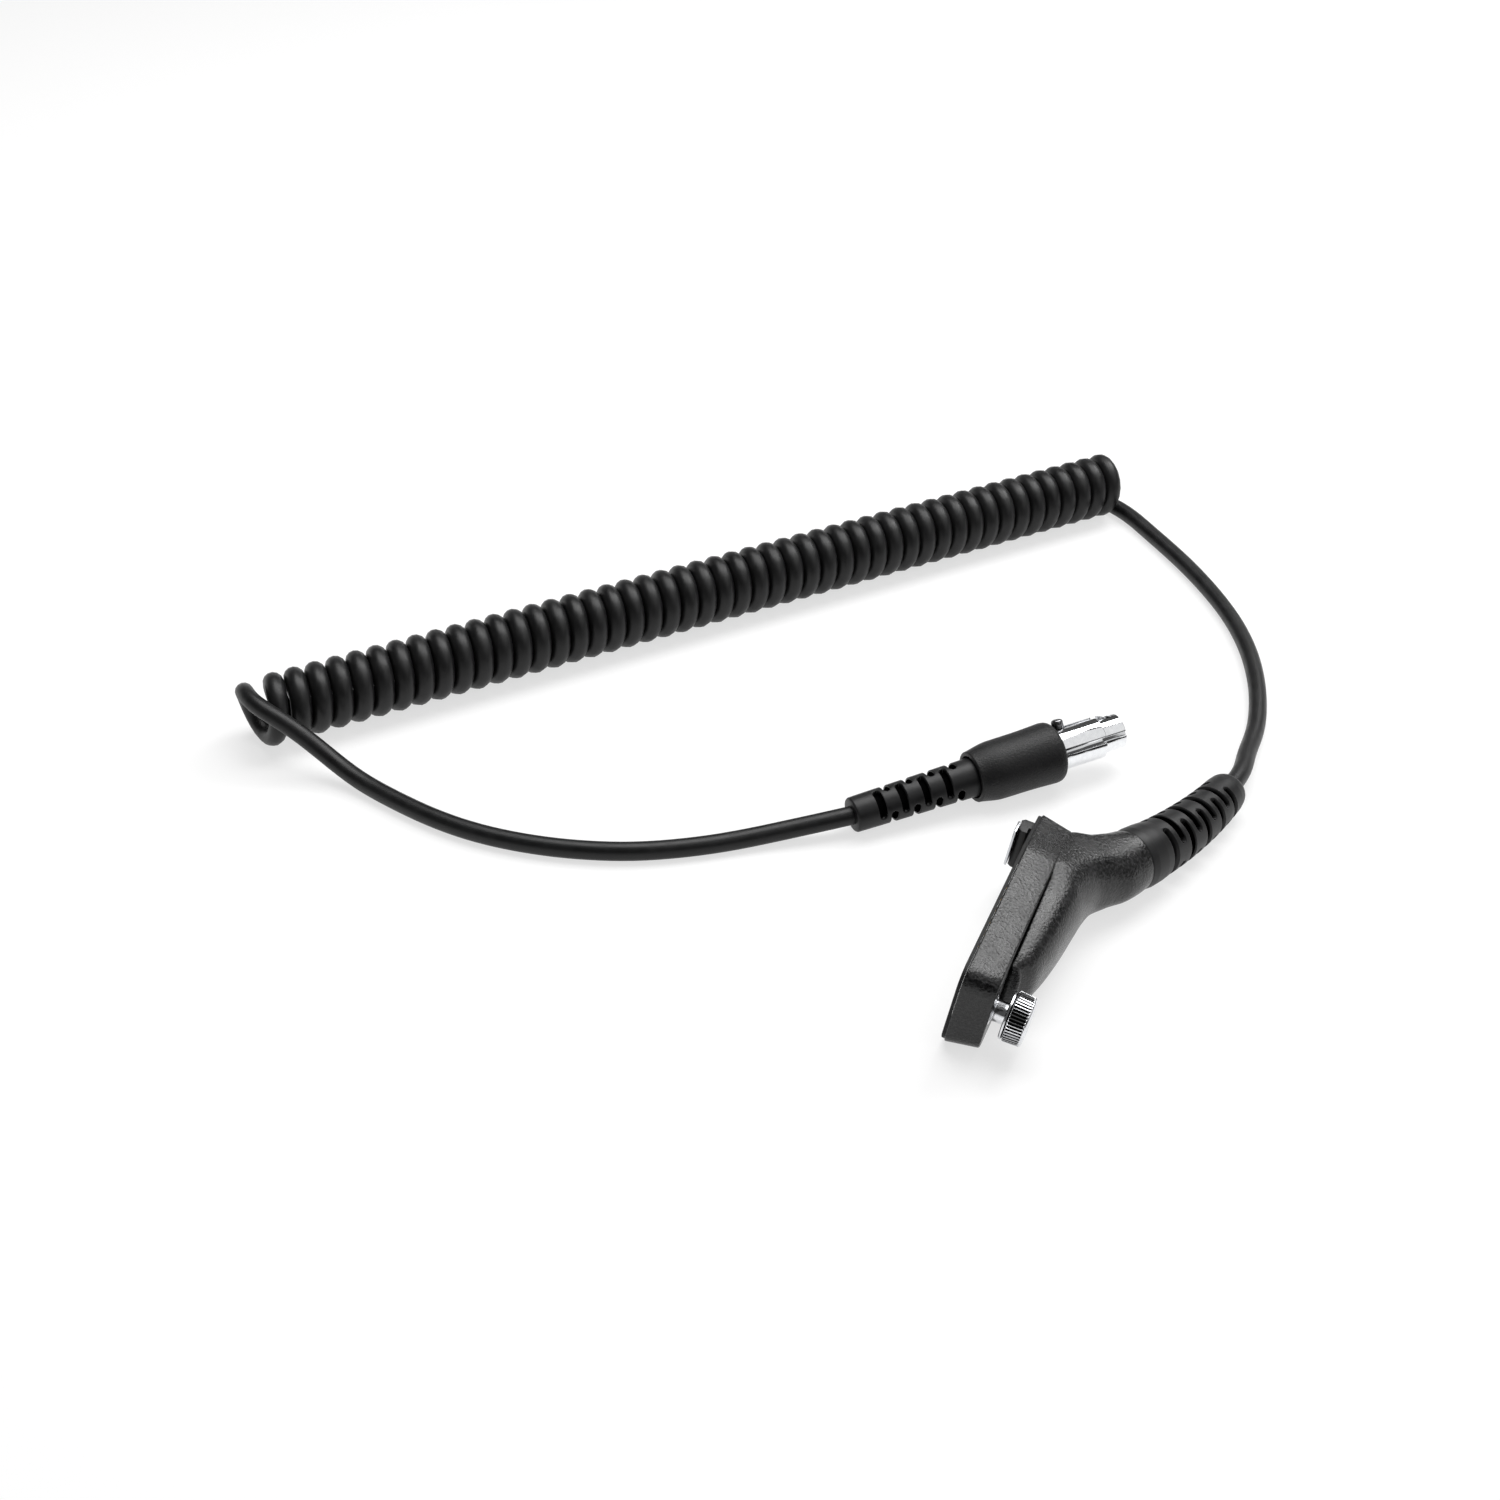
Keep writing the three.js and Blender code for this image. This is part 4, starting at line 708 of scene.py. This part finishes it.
def housing_ring(row, shrink=0.0, ahead_by=0.0):
    """One ring of the housing, drawn in by shrink and moved along by ahead_by."""
    lx, lz, hx, hz, half, low_power, high_power, waist, foot, slope = row
    low, high = np.array([lx, 0, lz]), np.array([hx, 0, hz])
    up = high - low
    tall = np.linalg.norm(up)
    up /= tall
    normal = np.cross(np.array([0, 1.0, 0]), up)
    low = low + up * shrink
    tall -= 2 * shrink
    half -= shrink
    slope = math.radians(max(slope, 0))
    start = bulge(math.sin(slope), high_power)
    widest = bulge(math.cos(slope), high_power)
    out = []
    for t in np.arange(HOUSING_SIDES) * TAU / HOUSING_SIDES:
        c, s = math.cos(t), math.sin(t)
        if s < -1e-9:
            depth = -bulge(s, low_power)
            across = half * (1 - foot * depth) * bulge(c, low_power)
            along = waist * (1 - depth)
        else:
            turned = slope + (math.pi / 2 - slope) * (1 - abs(1 - t / (math.pi / 2)))
            side = 0 if abs(c) < 1e-9 else math.copysign(1, c)
            across = half * side * bulge(math.cos(turned), high_power) / widest
            along = waist + (1 - waist) * (bulge(math.sin(turned), high_power) - start) / (1 - start)
        out.append(low + up * tall * along + np.array([0, across, 0]) + normal * ahead_by)
    return out


def make_housing():
    a = math.radians(NECK_ANGLE)
    over = np.array([-math.sin(a), 0, math.cos(a)])
    low, high = np.array(EXIT_AT) - over * COLLAR_R, np.array(EXIT_AT) + over * COLLAR_R
    collar = (low[0], low[2], high[0], high[2], COLLAR_R, 2, 2, 0.5, 0, 0)
    stations = HOUSING_ROWS + [collar]
    knots = np.arange(len(stations), dtype=float)
    at = np.concatenate([np.linspace(0, 1, 8)[:-1], np.linspace(1, len(stations) - 1, HOUSING_STEPS)])
    rows = curve_through(knots, stations, at)
    # the low end is rounded over
    rings = []
    for i in range(6):
        t = math.pi / 2 * i / 6
        shrink = HOUSING_ROUND * (1 - math.sin(t))
        rings.append(housing_ring(rows[0], shrink, -HOUSING_ROUND * math.cos(t) * 0.6))
    rings += [housing_ring(row) for row in rows]
    obj = skin("neck_housing", rings, CONNECTOR, 24)
    bore = lathe("cut", [(-12, NECK_BORE_R), (2, NECK_BORE_R)], 48, CONNECTOR @ relief_frame(0))
    return carve(obj, [bore], 24)


piece(make_housing(), HOUSING, "cable", "housing_plastic", "rear_housing")


SLEEVE_STEP, SLOT_EDGE = 0.11, 0.22
MOULD_LINE_HIGH, MOULD_LINE_WIDE = 0.045, 0.13


def degrees_from(angles, middle):
    return np.abs((np.degrees(angles) - middle + 180) % 360 - 180)


def slotted_sleeve(name, stations, centre_frame, where, slots, core, sides, mould_lines=()):
    """A round sleeve with slots that have rounded ends, as a skin over fine rings.

    stations are (along, radius) pairs; slots are (along, angle, width, half span) in mm and
    degrees; core is the radius at the slots' floor; mould_lines are the angles of raised lines.
    The slots' faces get the second material, a near-black painted shade for the slots' insides."""
    alongs, radii = [p[0] for p in stations], [p[1] for p in stations]
    fine = list(np.arange(alongs[0], alongs[-1], SLEEVE_STEP))
    samples = np.array(sorted({round(v, 4) for v in fine + alongs}))
    angles = np.arange(sides) * TAU / sides
    rings, depths = [], []
    for s, r in zip(samples, np.interp(samples, alongs, radii)):
        deep = np.zeros(sides)
        for along, middle, width, span in slots:
            if abs(s - along) > width:
                continue
            across = np.maximum(np.radians(degrees_from(angles, middle) - span) * r + width / 2, 0)
            outside = np.hypot(across, s - along) - width / 2
            deep = np.maximum(deep, np.clip(0.5 - outside / SLOT_EDGE, 0, 1) ** 0.8)
        cut_r = r - (r - core) * deep if r > core else np.full(sides, r)
        for middle in mould_lines:
            turn = np.radians(degrees_from(angles, middle)) * r
            cut_r = cut_r + MOULD_LINE_HIGH * np.exp(-(turn / MOULD_LINE_WIDE) ** 2)
        m = np.array(centre_frame(float(s)))
        local = np.stack([np.zeros(sides), cut_r * np.cos(angles), cut_r * np.sin(angles)], 1)
        rings.append(local @ m[:3, :3].T + m[:3, 3])
        depths.append(deep)
    obj = skin(name, rings, where)
    # faces deep in a slot get the painted slot shade
    for face in obj.data.polygons:
        i, k = divmod(face.index, sides)
        if i < len(depths) - 1:
            n = (k + 1) % sides
            deep = depths[i][k] + depths[i][n] + depths[i + 1][k] + depths[i + 1][n]
            face.material_index = int(deep > 1.4)
    return obj


def slot_rows(first, count, pitch, angles, width, span):
    """Rows of two facing slots, which change angle from row to row."""
    slots = []
    for i in range(count):
        for middle in (angles[i % 2], angles[i % 2] + 180):
            slots.append((first + i * pitch, middle, width, span))
    return slots


def relief_radius(s):
    return COLLAR_R + (RELIEF_TIP_R - COLLAR_R) * (s / RELIEF_LENGTH) ** RELIEF_TAPER


def make_relief():
    stations = [(0.12, 4.4), (0.13, COLLAR_R - 0.22), (0.2, COLLAR_R - 0.08), (0.35, COLLAR_R),
                (2.0, COLLAR_R + 0.15), (5.0, COLLAR_R)]
    stations += [(s, relief_radius(s)) for s in np.arange(7.5, RELIEF_LENGTH - 2.6, 1.5)]
    for i in range(1, 8):
        t = math.pi / 2 * i / 7
        stations.append((RELIEF_LENGTH - RELIEF_TIP_LENGTH + RELIEF_TIP_LENGTH * math.sin(t),
                         RELIEF_TIP_R - RELIEF_TIP_ROUND * (1 - math.cos(t))))
    stations.append((RELIEF_LENGTH + 0.01, CORD_R + 0.05))
    slots = slot_rows(RELIEF_FIRST, RELIEF_SLOTS, RELIEF_PITCH,
                      RELIEF_SLOT_ANGLES, RELIEF_SLOT_WIDTH, RELIEF_SLOT_SPAN)
    return slotted_sleeve(
        "strain_relief_sleeve", stations, relief_frame, CONNECTOR, slots, RELIEF_CORE_R, 176)


piece(make_relief(), (RELIEF, PAINTED_SLOT_SHADE), "cable", "relief_rubber", "strain_relief")


def make_gasket():
    inner = PLATE_EDGE + GASKET_WIDTH
    section = ((inner, -0.3), (inner, GASKET_TOP), (0.5, GASKET_TOP), (PLATE_EDGE, -0.62),
               (PLATE_EDGE, -0.02))
    rings = [plate_ring(inset, inset, z) for inset, z in section]
    count = min(len(ring) for ring in rings)
    return skin("face_gasket", [ring[:count] for ring in rings], CONNECTOR, 30, closed=True)


piece(make_gasket(), GASKET, "cable", "relief_rubber", "mating_gasket")


def at_pin(x, y):
    return CONNECTOR @ Matrix.Translation((x, y, 0))


def make_contact_face():
    outline = slab_outline(BLOCK_HALF_X, BLOCK_HALF_Y, BLOCK_CORNER, BLOCK_X)
    obj = prism("contact_carrier", outline, -0.2, 3.1, CONNECTOR)
    cutters = []
    for x, y in PIN_SPOTS:
        cutters.append(lathe("cut", [(-3, PIN_BORE_R), (5, PIN_BORE_R)], 24, at_pin(x, y), "z"))
        cutters.append(lathe("cut", [(-0.6, PIN_BORE_RIM), (0.05, 1.1)], 24, at_pin(x, y), "z"))
    carve(obj, cutters, 30)
    return soften(obj, 0.12, 2, 40, 40)


def make_contact(number, x, y):
    tip = [(-0.95, 0.05), (-0.93, 0.28), (-0.83, 0.48), (-0.65, 0.62), (-0.4, 0.72)]
    shape = tip + [(-0.15, PIN_R), (2.0, PIN_R)]
    return lathe(f"sprung_contact_{number}", shape, 24, at_pin(x, y), "z", 50)


piece(make_contact_face(), END_SMOOTH, "cable", "insulator", "contact_block")
for number, (x, y) in enumerate(PIN_SPOTS, 1):
    piece(make_contact(number, x, y), GOLD, "contact_pins", "gold", f"contact_pin_{number}")

dress(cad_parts["contact_board"], BOARD)
dress(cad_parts["cord_crimp"], BRASS)
dress(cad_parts["screw_clip"], STEEL)


def make_hook():
    end, low = HOOK_END, -HOOK_PROUD
    side = [(end - 2.4, 0.0), (end, 0.0), (end, low + 0.9), (end - 0.9, low), (HOOK_X + 0.9, low),
            (HOOK_X, low + 1.1), (HOOK_X, -1.6), (end - 2.4, -1.6)]
    obj = prism("hook", side, -HOOK_HALF, HOOK_HALF, CONNECTOR, "xz")
    groove = block("cut", (HOOK_X - 1, -6, low - 1), (STEM_X + 0.8, 6, CATCH_TOP + 0.75), CONNECTOR)
    stem = block("cut", (STEM_X - 0.15, -3.8, low - 1), (STEM_X + 0.75, 3.8, -2.0), CONNECTOR)
    carve(obj, [groove, stem], 30)
    return soften(obj, 0.2, 3, 40, 40)


piece(make_hook(), END_SMOOTH, "cable", "insulator", "hook_block")


def make_catch():
    top, low = CATCH_TOP, CATCH_TOP + CATCH_THICK
    near, end = HOOK_X - CATCH_REACH, STEM_X + 0.6
    side = [(near, top + 0.35), (near + 0.35, top), (end, top), (end, low), (STEM_X, low), (near, low)]
    bar = prism("bar", side, -CATCH_HALF, CATCH_HALF, CONNECTOR, "xz")
    tab = block("tab", (STEM_X, -STEM_HALF, low - 0.05), (end, STEM_HALF, top + 2.0), CONNECTOR)
    return soften(join("hook_plate", [bar, tab]), 0.12, 2, 30, 40)


piece(make_catch(), STEEL, "cable", "steel", "hook_catch")


def make_bush():
    foot, rim, flange, inner = 3.2, PLATE_THICK + 0.05, 2.6, 2.0
    profile = rounded([(foot, inner), (foot, BUSH_R), (rim, BUSH_R), (rim, flange), (4.0, flange),
                       (4.0, inner), (foot, inner)], 0.12, 3)
    return lathe("screw_sleeve", profile[:-1], 64, AT_SCREW, "z", 40, closed=True)


piece(make_bush(), CHROME, "cable", "chrome_shell", "screw_bush")


def screw_head_rows(low, high):
    """(height, radius, share of the knurl's depth): a flange, a turned groove, the knurl, the end."""
    rows = []
    for up, wider, share in (
            (0, -HEAD_WAIST, 0), (0.05, -0.35, 0), (0.18, -0.22, 0), (0.5, -0.22, 0), (0.58, -0.3, 0),
            (0.62, -HEAD_WAIST, 0), (0.8, -HEAD_WAIST, 0), (0.84, -0.2, 0), (0.95, -0.05, 0.5),
            (1.1, 0, 1)):
        rows.append((low + up, HEAD_R + wider, share))
    for t in np.linspace(0, 1, 8)[1:-1]:
        rows.append((low + 1.1 + (HEAD_LENGTH - 1.9) * t, HEAD_R + (HEAD_TIP_R - HEAD_R) * t, 1))
    for down, narrower, share in (
            (0.8, 0, 1), (0.65, 0, 0.35), (0.5, 0, 0), (0.35, 0.03, 0), (0.15, 0.18, 0), (0.03, 0.4, 0),
            (0, 0.7, 0), (0, 1.4, 0), (0.12, 1.7, 0), (0.3, 2.0, 0)):
        rows.append((high - down, HEAD_TIP_R - narrower, share))
    rows.append((high - 0.3, 0.4, 0))
    return rows


def make_thumbscrew():
    low = PLATE_THICK + HEAD_GAP
    sides = KNURLS * 10
    angles = np.arange(sides) * TAU / sides
    ridge = np.abs(((angles * KNURLS / TAU) % 1) - 0.5) * 2
    groove = np.clip((0.7 - ridge) / 0.34, 0, 1)
    rows = screw_head_rows(low, low + HEAD_LENGTH)
    rings = []
    for z, r, share in rows:
        cut_r = r - KNURL_DEPTH * share * groove
        rings.append(np.stack([cut_r * np.cos(angles), cut_r * np.sin(angles), np.full(sides, z)], 1))
    head = skin("head", rings, AT_SCREW)
    # the knurl's grooves and the turned one get painted shade, a near-black second material
    for face in head.data.polygons:
        row, k = divmod(face.index, sides)
        if row == len(rows) - 1:
            continue
        share = rows[row][2]
        knurled = min(share, rows[row + 1][2]) > 0.3
        if knurled or rows[row][1] == HEAD_R - HEAD_WAIST:
            deep = (ridge[k] + ridge[(k + 1) % sides]) / 2 < 0.62
            face.material_index = int(deep or share == 0)
    core_profile = rounded([
        (0.3, 0.01), (0.3, 1.2), (0.8, SHANK_R), (PLATE_THICK - 0.3, SHANK_R), (PLATE_THICK - 0.3, NECK_R),
        (low - 0.02, NECK_R), (low - 0.02, HEAD_R - HEAD_WAIST),
    ], 0.12, 2)
    core = lathe("core", core_profile, 64, AT_SCREW, "z", 40)
    obj = join("thumbscrew_knurled", [core, head])
    smooth(obj, 38)
    return obj


piece(make_thumbscrew(), (DARK_CHROME, PAINTED_KNURL_SHADE), "thumbscrew", "dark_chrome", "thumbscrew")


# ---------- plug ----------

def along_plug(x):
    return Matrix.Translation((x, 0, 0))


def around(angle):
    return PLUG @ Matrix.Rotation(math.radians(angle), 4, "X")


def make_boot():
    stations = [(0.0, CORD_R + 0.15), (0.01, BOOT_REAR_R - 0.45), (0.1, BOOT_REAR_R - 0.2),
                (0.4, BOOT_REAR_R - 0.02), (0.7, BOOT_REAR_R)]
    length = BOOT_LENGTH + BOOT_TAIL
    taper = (BOOT_FRONT_R - BOOT_REAR_R) / length
    stations += [(x, BOOT_REAR_R + taper * x) for x in np.arange(2, length, 2)]
    slots = slot_rows(BOOT_FIRST, BOOT_SLOTS, BOOT_PITCH,
                      BOOT_SLOT_ANGLES, BOOT_SLOT_WIDTH, BOOT_SLOT_SPAN)
    return slotted_sleeve(
        "plug_boot_sleeve", stations, along_plug, PLUG, slots, BOOT_CORE_R, 144, BOOT_MOULD_LINES)


piece(make_boot(), (RELIEF, PAINTED_SLOT_SHADE), "cable", "relief_rubber", "plug_boot")


def make_cover():
    x, f = BOOT_LENGTH, COVER_FRONT
    knots = [x + 0.5, x + 6, x + 13, x + COVER_WIDEST]
    radii = [[COVER_REAR_R + 0.05], [COVER_REAR_R + 0.95], [COVER_R - 0.28], [COVER_R]]
    at = np.linspace(knots[0], knots[-1], 28)
    body = curve_through(knots, radii, at)[:, 0]
    profile = [(x + 1.6, BOOT_FRONT_R + 0.1), (x + 0.25, BOOT_FRONT_R + 0.25), (x, BOOT_FRONT_R + 0.4),
               (x, COVER_REAR_R - 0.25), (x + 0.1, COVER_REAR_R - 0.05), (x + 0.25, COVER_REAR_R + 0.05)]
    profile += list(zip(at, body))
    for back, drop in ((1.7, 0.03), (1.1, 0.12), (0.7, 0.3), (0.35, 0.58), (0.12, 0.9), (0, 1.3)):
        profile.append((f - back, COVER_R - drop))
    profile += [(f, SHELL_R + 0.3), (f - 0.1, SHELL_R + 0.15), (f - 3.0, SHELL_R + 0.12)]
    return lathe("plug_cover_shell", profile, 96, PLUG, "x", 50)


piece(make_cover(), COVER, "cable", "cover_plastic", "plug_cover")


def make_shell():
    rear, step = COVER_FRONT - SHELL_HELD, SHELL_STEP - SHELL_WALL
    inner, nose_inner = SHELL_R - SHELL_WALL, NOSE_R - SHELL_WALL
    profile = rounded([
        (rear, inner), (rear, SHELL_R), (SHELL_STEP, SHELL_R), (SHELL_STEP, NOSE_R), (NOSE_END, NOSE_R),
        (NOSE_END, nose_inner), (step, nose_inner), (step, inner), (rear, inner),
    ], 0.18, 3)
    obj = lathe("plug_barrel", profile[:-1], 96, PLUG, "x", 40, closed=True)
    slot_half = LATCH_WIDTH / 2 + 0.3
    at_latch, at_key = around(LATCH_ANGLE), around(KEY_ANGLE)
    button_hole = at_latch @ Matrix.Translation((BUTTON_X, 0, 0))
    cutters = [
        block("cut", (COVER_FRONT - 6, -slot_half, 0), (NOSE_END - 1.4, slot_half, 6), at_latch),
        lathe("cut", [(0, 1.65), (6, 1.65)], 32, button_hole, "z"),
        block("cut", (COVER_FRONT + 0.6, -KEY_HALF, SHELL_R - KEY_DEPTH),
              (SHELL_STEP + 1, KEY_HALF, 7), at_key),
        block("cut", (SHELL_STEP - 1, -NOSE_KEY_HALF, NOSE_R - KEY_DEPTH),
              (NOSE_END + 1, NOSE_KEY_HALF, 7), at_key),
    ]
    carve(obj, cutters, 35)
    return soften(obj, 0.07, 2, 45, 35)


piece(make_shell(), CHROME, "cable", "chrome_shell", "plug_shell")
dress(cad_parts["plug_insert"], END_SMOOTH)
for number in range(1, 6):
    dress(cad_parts[f"plug_socket_{number}"], GOLD)


def make_tongue():
    rear, end = COVER_FRONT - LATCH_REAR, COVER_FRONT + LATCH_NOSE
    top, low, half = LATCH_TOP, LATCH_TOP - LATCH_THICK, LATCH_WIDTH / 2
    side = [(rear, low), (end, low), (end, top), (end - 0.4, top + 0.1), (end - 0.55, top + 0.3),
            (end - 1.0, top + 0.6), (end - 1.7, top + 0.75), (end - 1.7, top), (rear, top)]
    return soften(prism("latch_strip", side, -half, half, around(LATCH_ANGLE), "xz"), 0.06, 2)


piece(make_tongue(), STEEL, "latch", "steel", "latch_tongue")


def make_button():
    low = LATCH_TOP + SEAT
    shape = ((0, 0.75), (0, 1.0), (0.3, 1.25), (0.5, 1.42), (2.0, 1.42), (2.25, 1.35), (2.46, 1.16),
             (2.58, 0.9), (2.64, 0.5), (2.66, 0.02))
    profile = [(low + up, radius) for up, radius in shape]
    at_button = around(LATCH_ANGLE) @ Matrix.Translation((BUTTON_X, 0, 0))
    return lathe("latch_knob", profile, 40, at_button, "z", 60)


piece(make_button(), KNOB, "latch", "steel", "latch_button")

plug_pieces = ("plug_boot_sleeve", "plug_cover_shell", "plug_barrel", "latch_strip", "latch_knob")
plug_nodes = [bpy.data.objects[name] for name in plug_pieces]
plug_nodes += [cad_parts["plug_insert"]] + [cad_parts[f"plug_socket_{i}"] for i in range(1, 6)]


# ---------- floor and light ----------

def seen_directly(tree, low, high):
    """One value for the camera, reflections and glass, and another for the light it gives."""
    path = tree.nodes.new("ShaderNodeLightPath")
    total = path.outputs["Is Camera Ray"]
    for name in ("Is Glossy Ray", "Is Transmission Ray"):
        both = tree.nodes.new("ShaderNodeMath")
        both.operation = "MAXIMUM"
        tree.links.new(total, both.inputs[0])
        tree.links.new(path.outputs[name], both.inputs[1])
        total = both.outputs[0]
    level = tree.nodes.new("ShaderNodeMapRange")
    for name, value in (("To Min", low), ("To Max", high), ("Value", total)):
        if isinstance(value, bpy.types.NodeSocket):
            tree.links.new(value, level.inputs[name])
        else:
            level.inputs[name].default_value = value
    return level.outputs["Result"]


def make_floor():
    half = 6
    corners = [(-half, -half, 0), (half, -half, 0), (half, half, 0), (-half, half, 0)]
    mesh = bpy.data.meshes.new("floor")
    mesh.from_pydata(corners, [], [(0, 1, 2, 3)])
    obj = bpy.data.objects.new("floor", mesh)
    bpy.context.scene.collection.objects.link(obj)
    material = bpy.data.materials.new("floor")
    material.use_nodes = True
    tree = material.node_tree
    tree.nodes.clear()
    out = tree.nodes.new("ShaderNodeOutputMaterial")
    lit = tree.nodes.new("ShaderNodeBsdfDiffuse")
    lit.inputs["Color"].default_value = (0.32, 0.32, 0.32, 1)
    glow = tree.nodes.new("ShaderNodeEmission")
    tree.links.new(seen_directly(tree, 0.0, 0.68), glow.inputs["Strength"])
    both = tree.nodes.new("ShaderNodeAddShader")
    tree.links.new(lit.outputs[0], both.inputs[0])
    tree.links.new(glow.outputs[0], both.inputs[1])
    tree.links.new(both.outputs[0], out.inputs["Surface"])
    mesh.materials.append(material)


make_floor()


def make_world():
    world = bpy.data.worlds.new("world")
    bpy.context.scene.world = world
    world.use_nodes = True
    tree = world.node_tree
    back = tree.nodes["Background"]
    # pale behind the floor's far edge, dark above it
    height = tree.nodes.new("ShaderNodeSeparateXYZ")
    tree.links.new(tree.nodes.new("ShaderNodeTexCoord").outputs["Generated"], height.inputs[0])
    fall = tree.nodes.new("ShaderNodeMapRange")
    for name, value in (("From Min", 0.15), ("From Max", 0.2), ("To Min", 0.7), ("To Max", 0.08)):
        fall.inputs[name].default_value = value
    tree.links.new(height.outputs["Z"], fall.inputs["Value"])
    tree.links.new(seen_directly(tree, 0.12, fall.outputs["Result"]), back.inputs["Strength"])
    back.inputs["Color"].default_value = (1, 1, 1, 1)


make_world()


def area_light(name, at, target, size_x, size_y, power):
    data = bpy.data.lights.new(name, "AREA")
    data.shape = "RECTANGLE"
    data.size, data.size_y = size_x, size_y
    data.energy = power
    obj = bpy.data.objects.new(name, data)
    obj.location = at
    obj.rotation_mode = "QUATERNION"
    obj.rotation_quaternion = (Vector(target) - Vector(at)).to_track_quat("-Z", "Y")
    bpy.context.scene.collection.objects.link(obj)


area_light("softbox", (-0.02, 0.37, 1.0), (-0.05, 0.02, 0.0), 0.9, 0.75, 10.5)
area_light("side_softbox", (0.4545, 0.5417, 0.707), (-0.02, -0.02, 0.0), 0.46, 0.4, 3.7)
area_light("side_card", (0.62, -0.25, 0.85), (0.0, 0.0, 0.0), 1.0, 1.0, 2.4)

bpy.context.scene.view_settings.view_transform = "Standard"
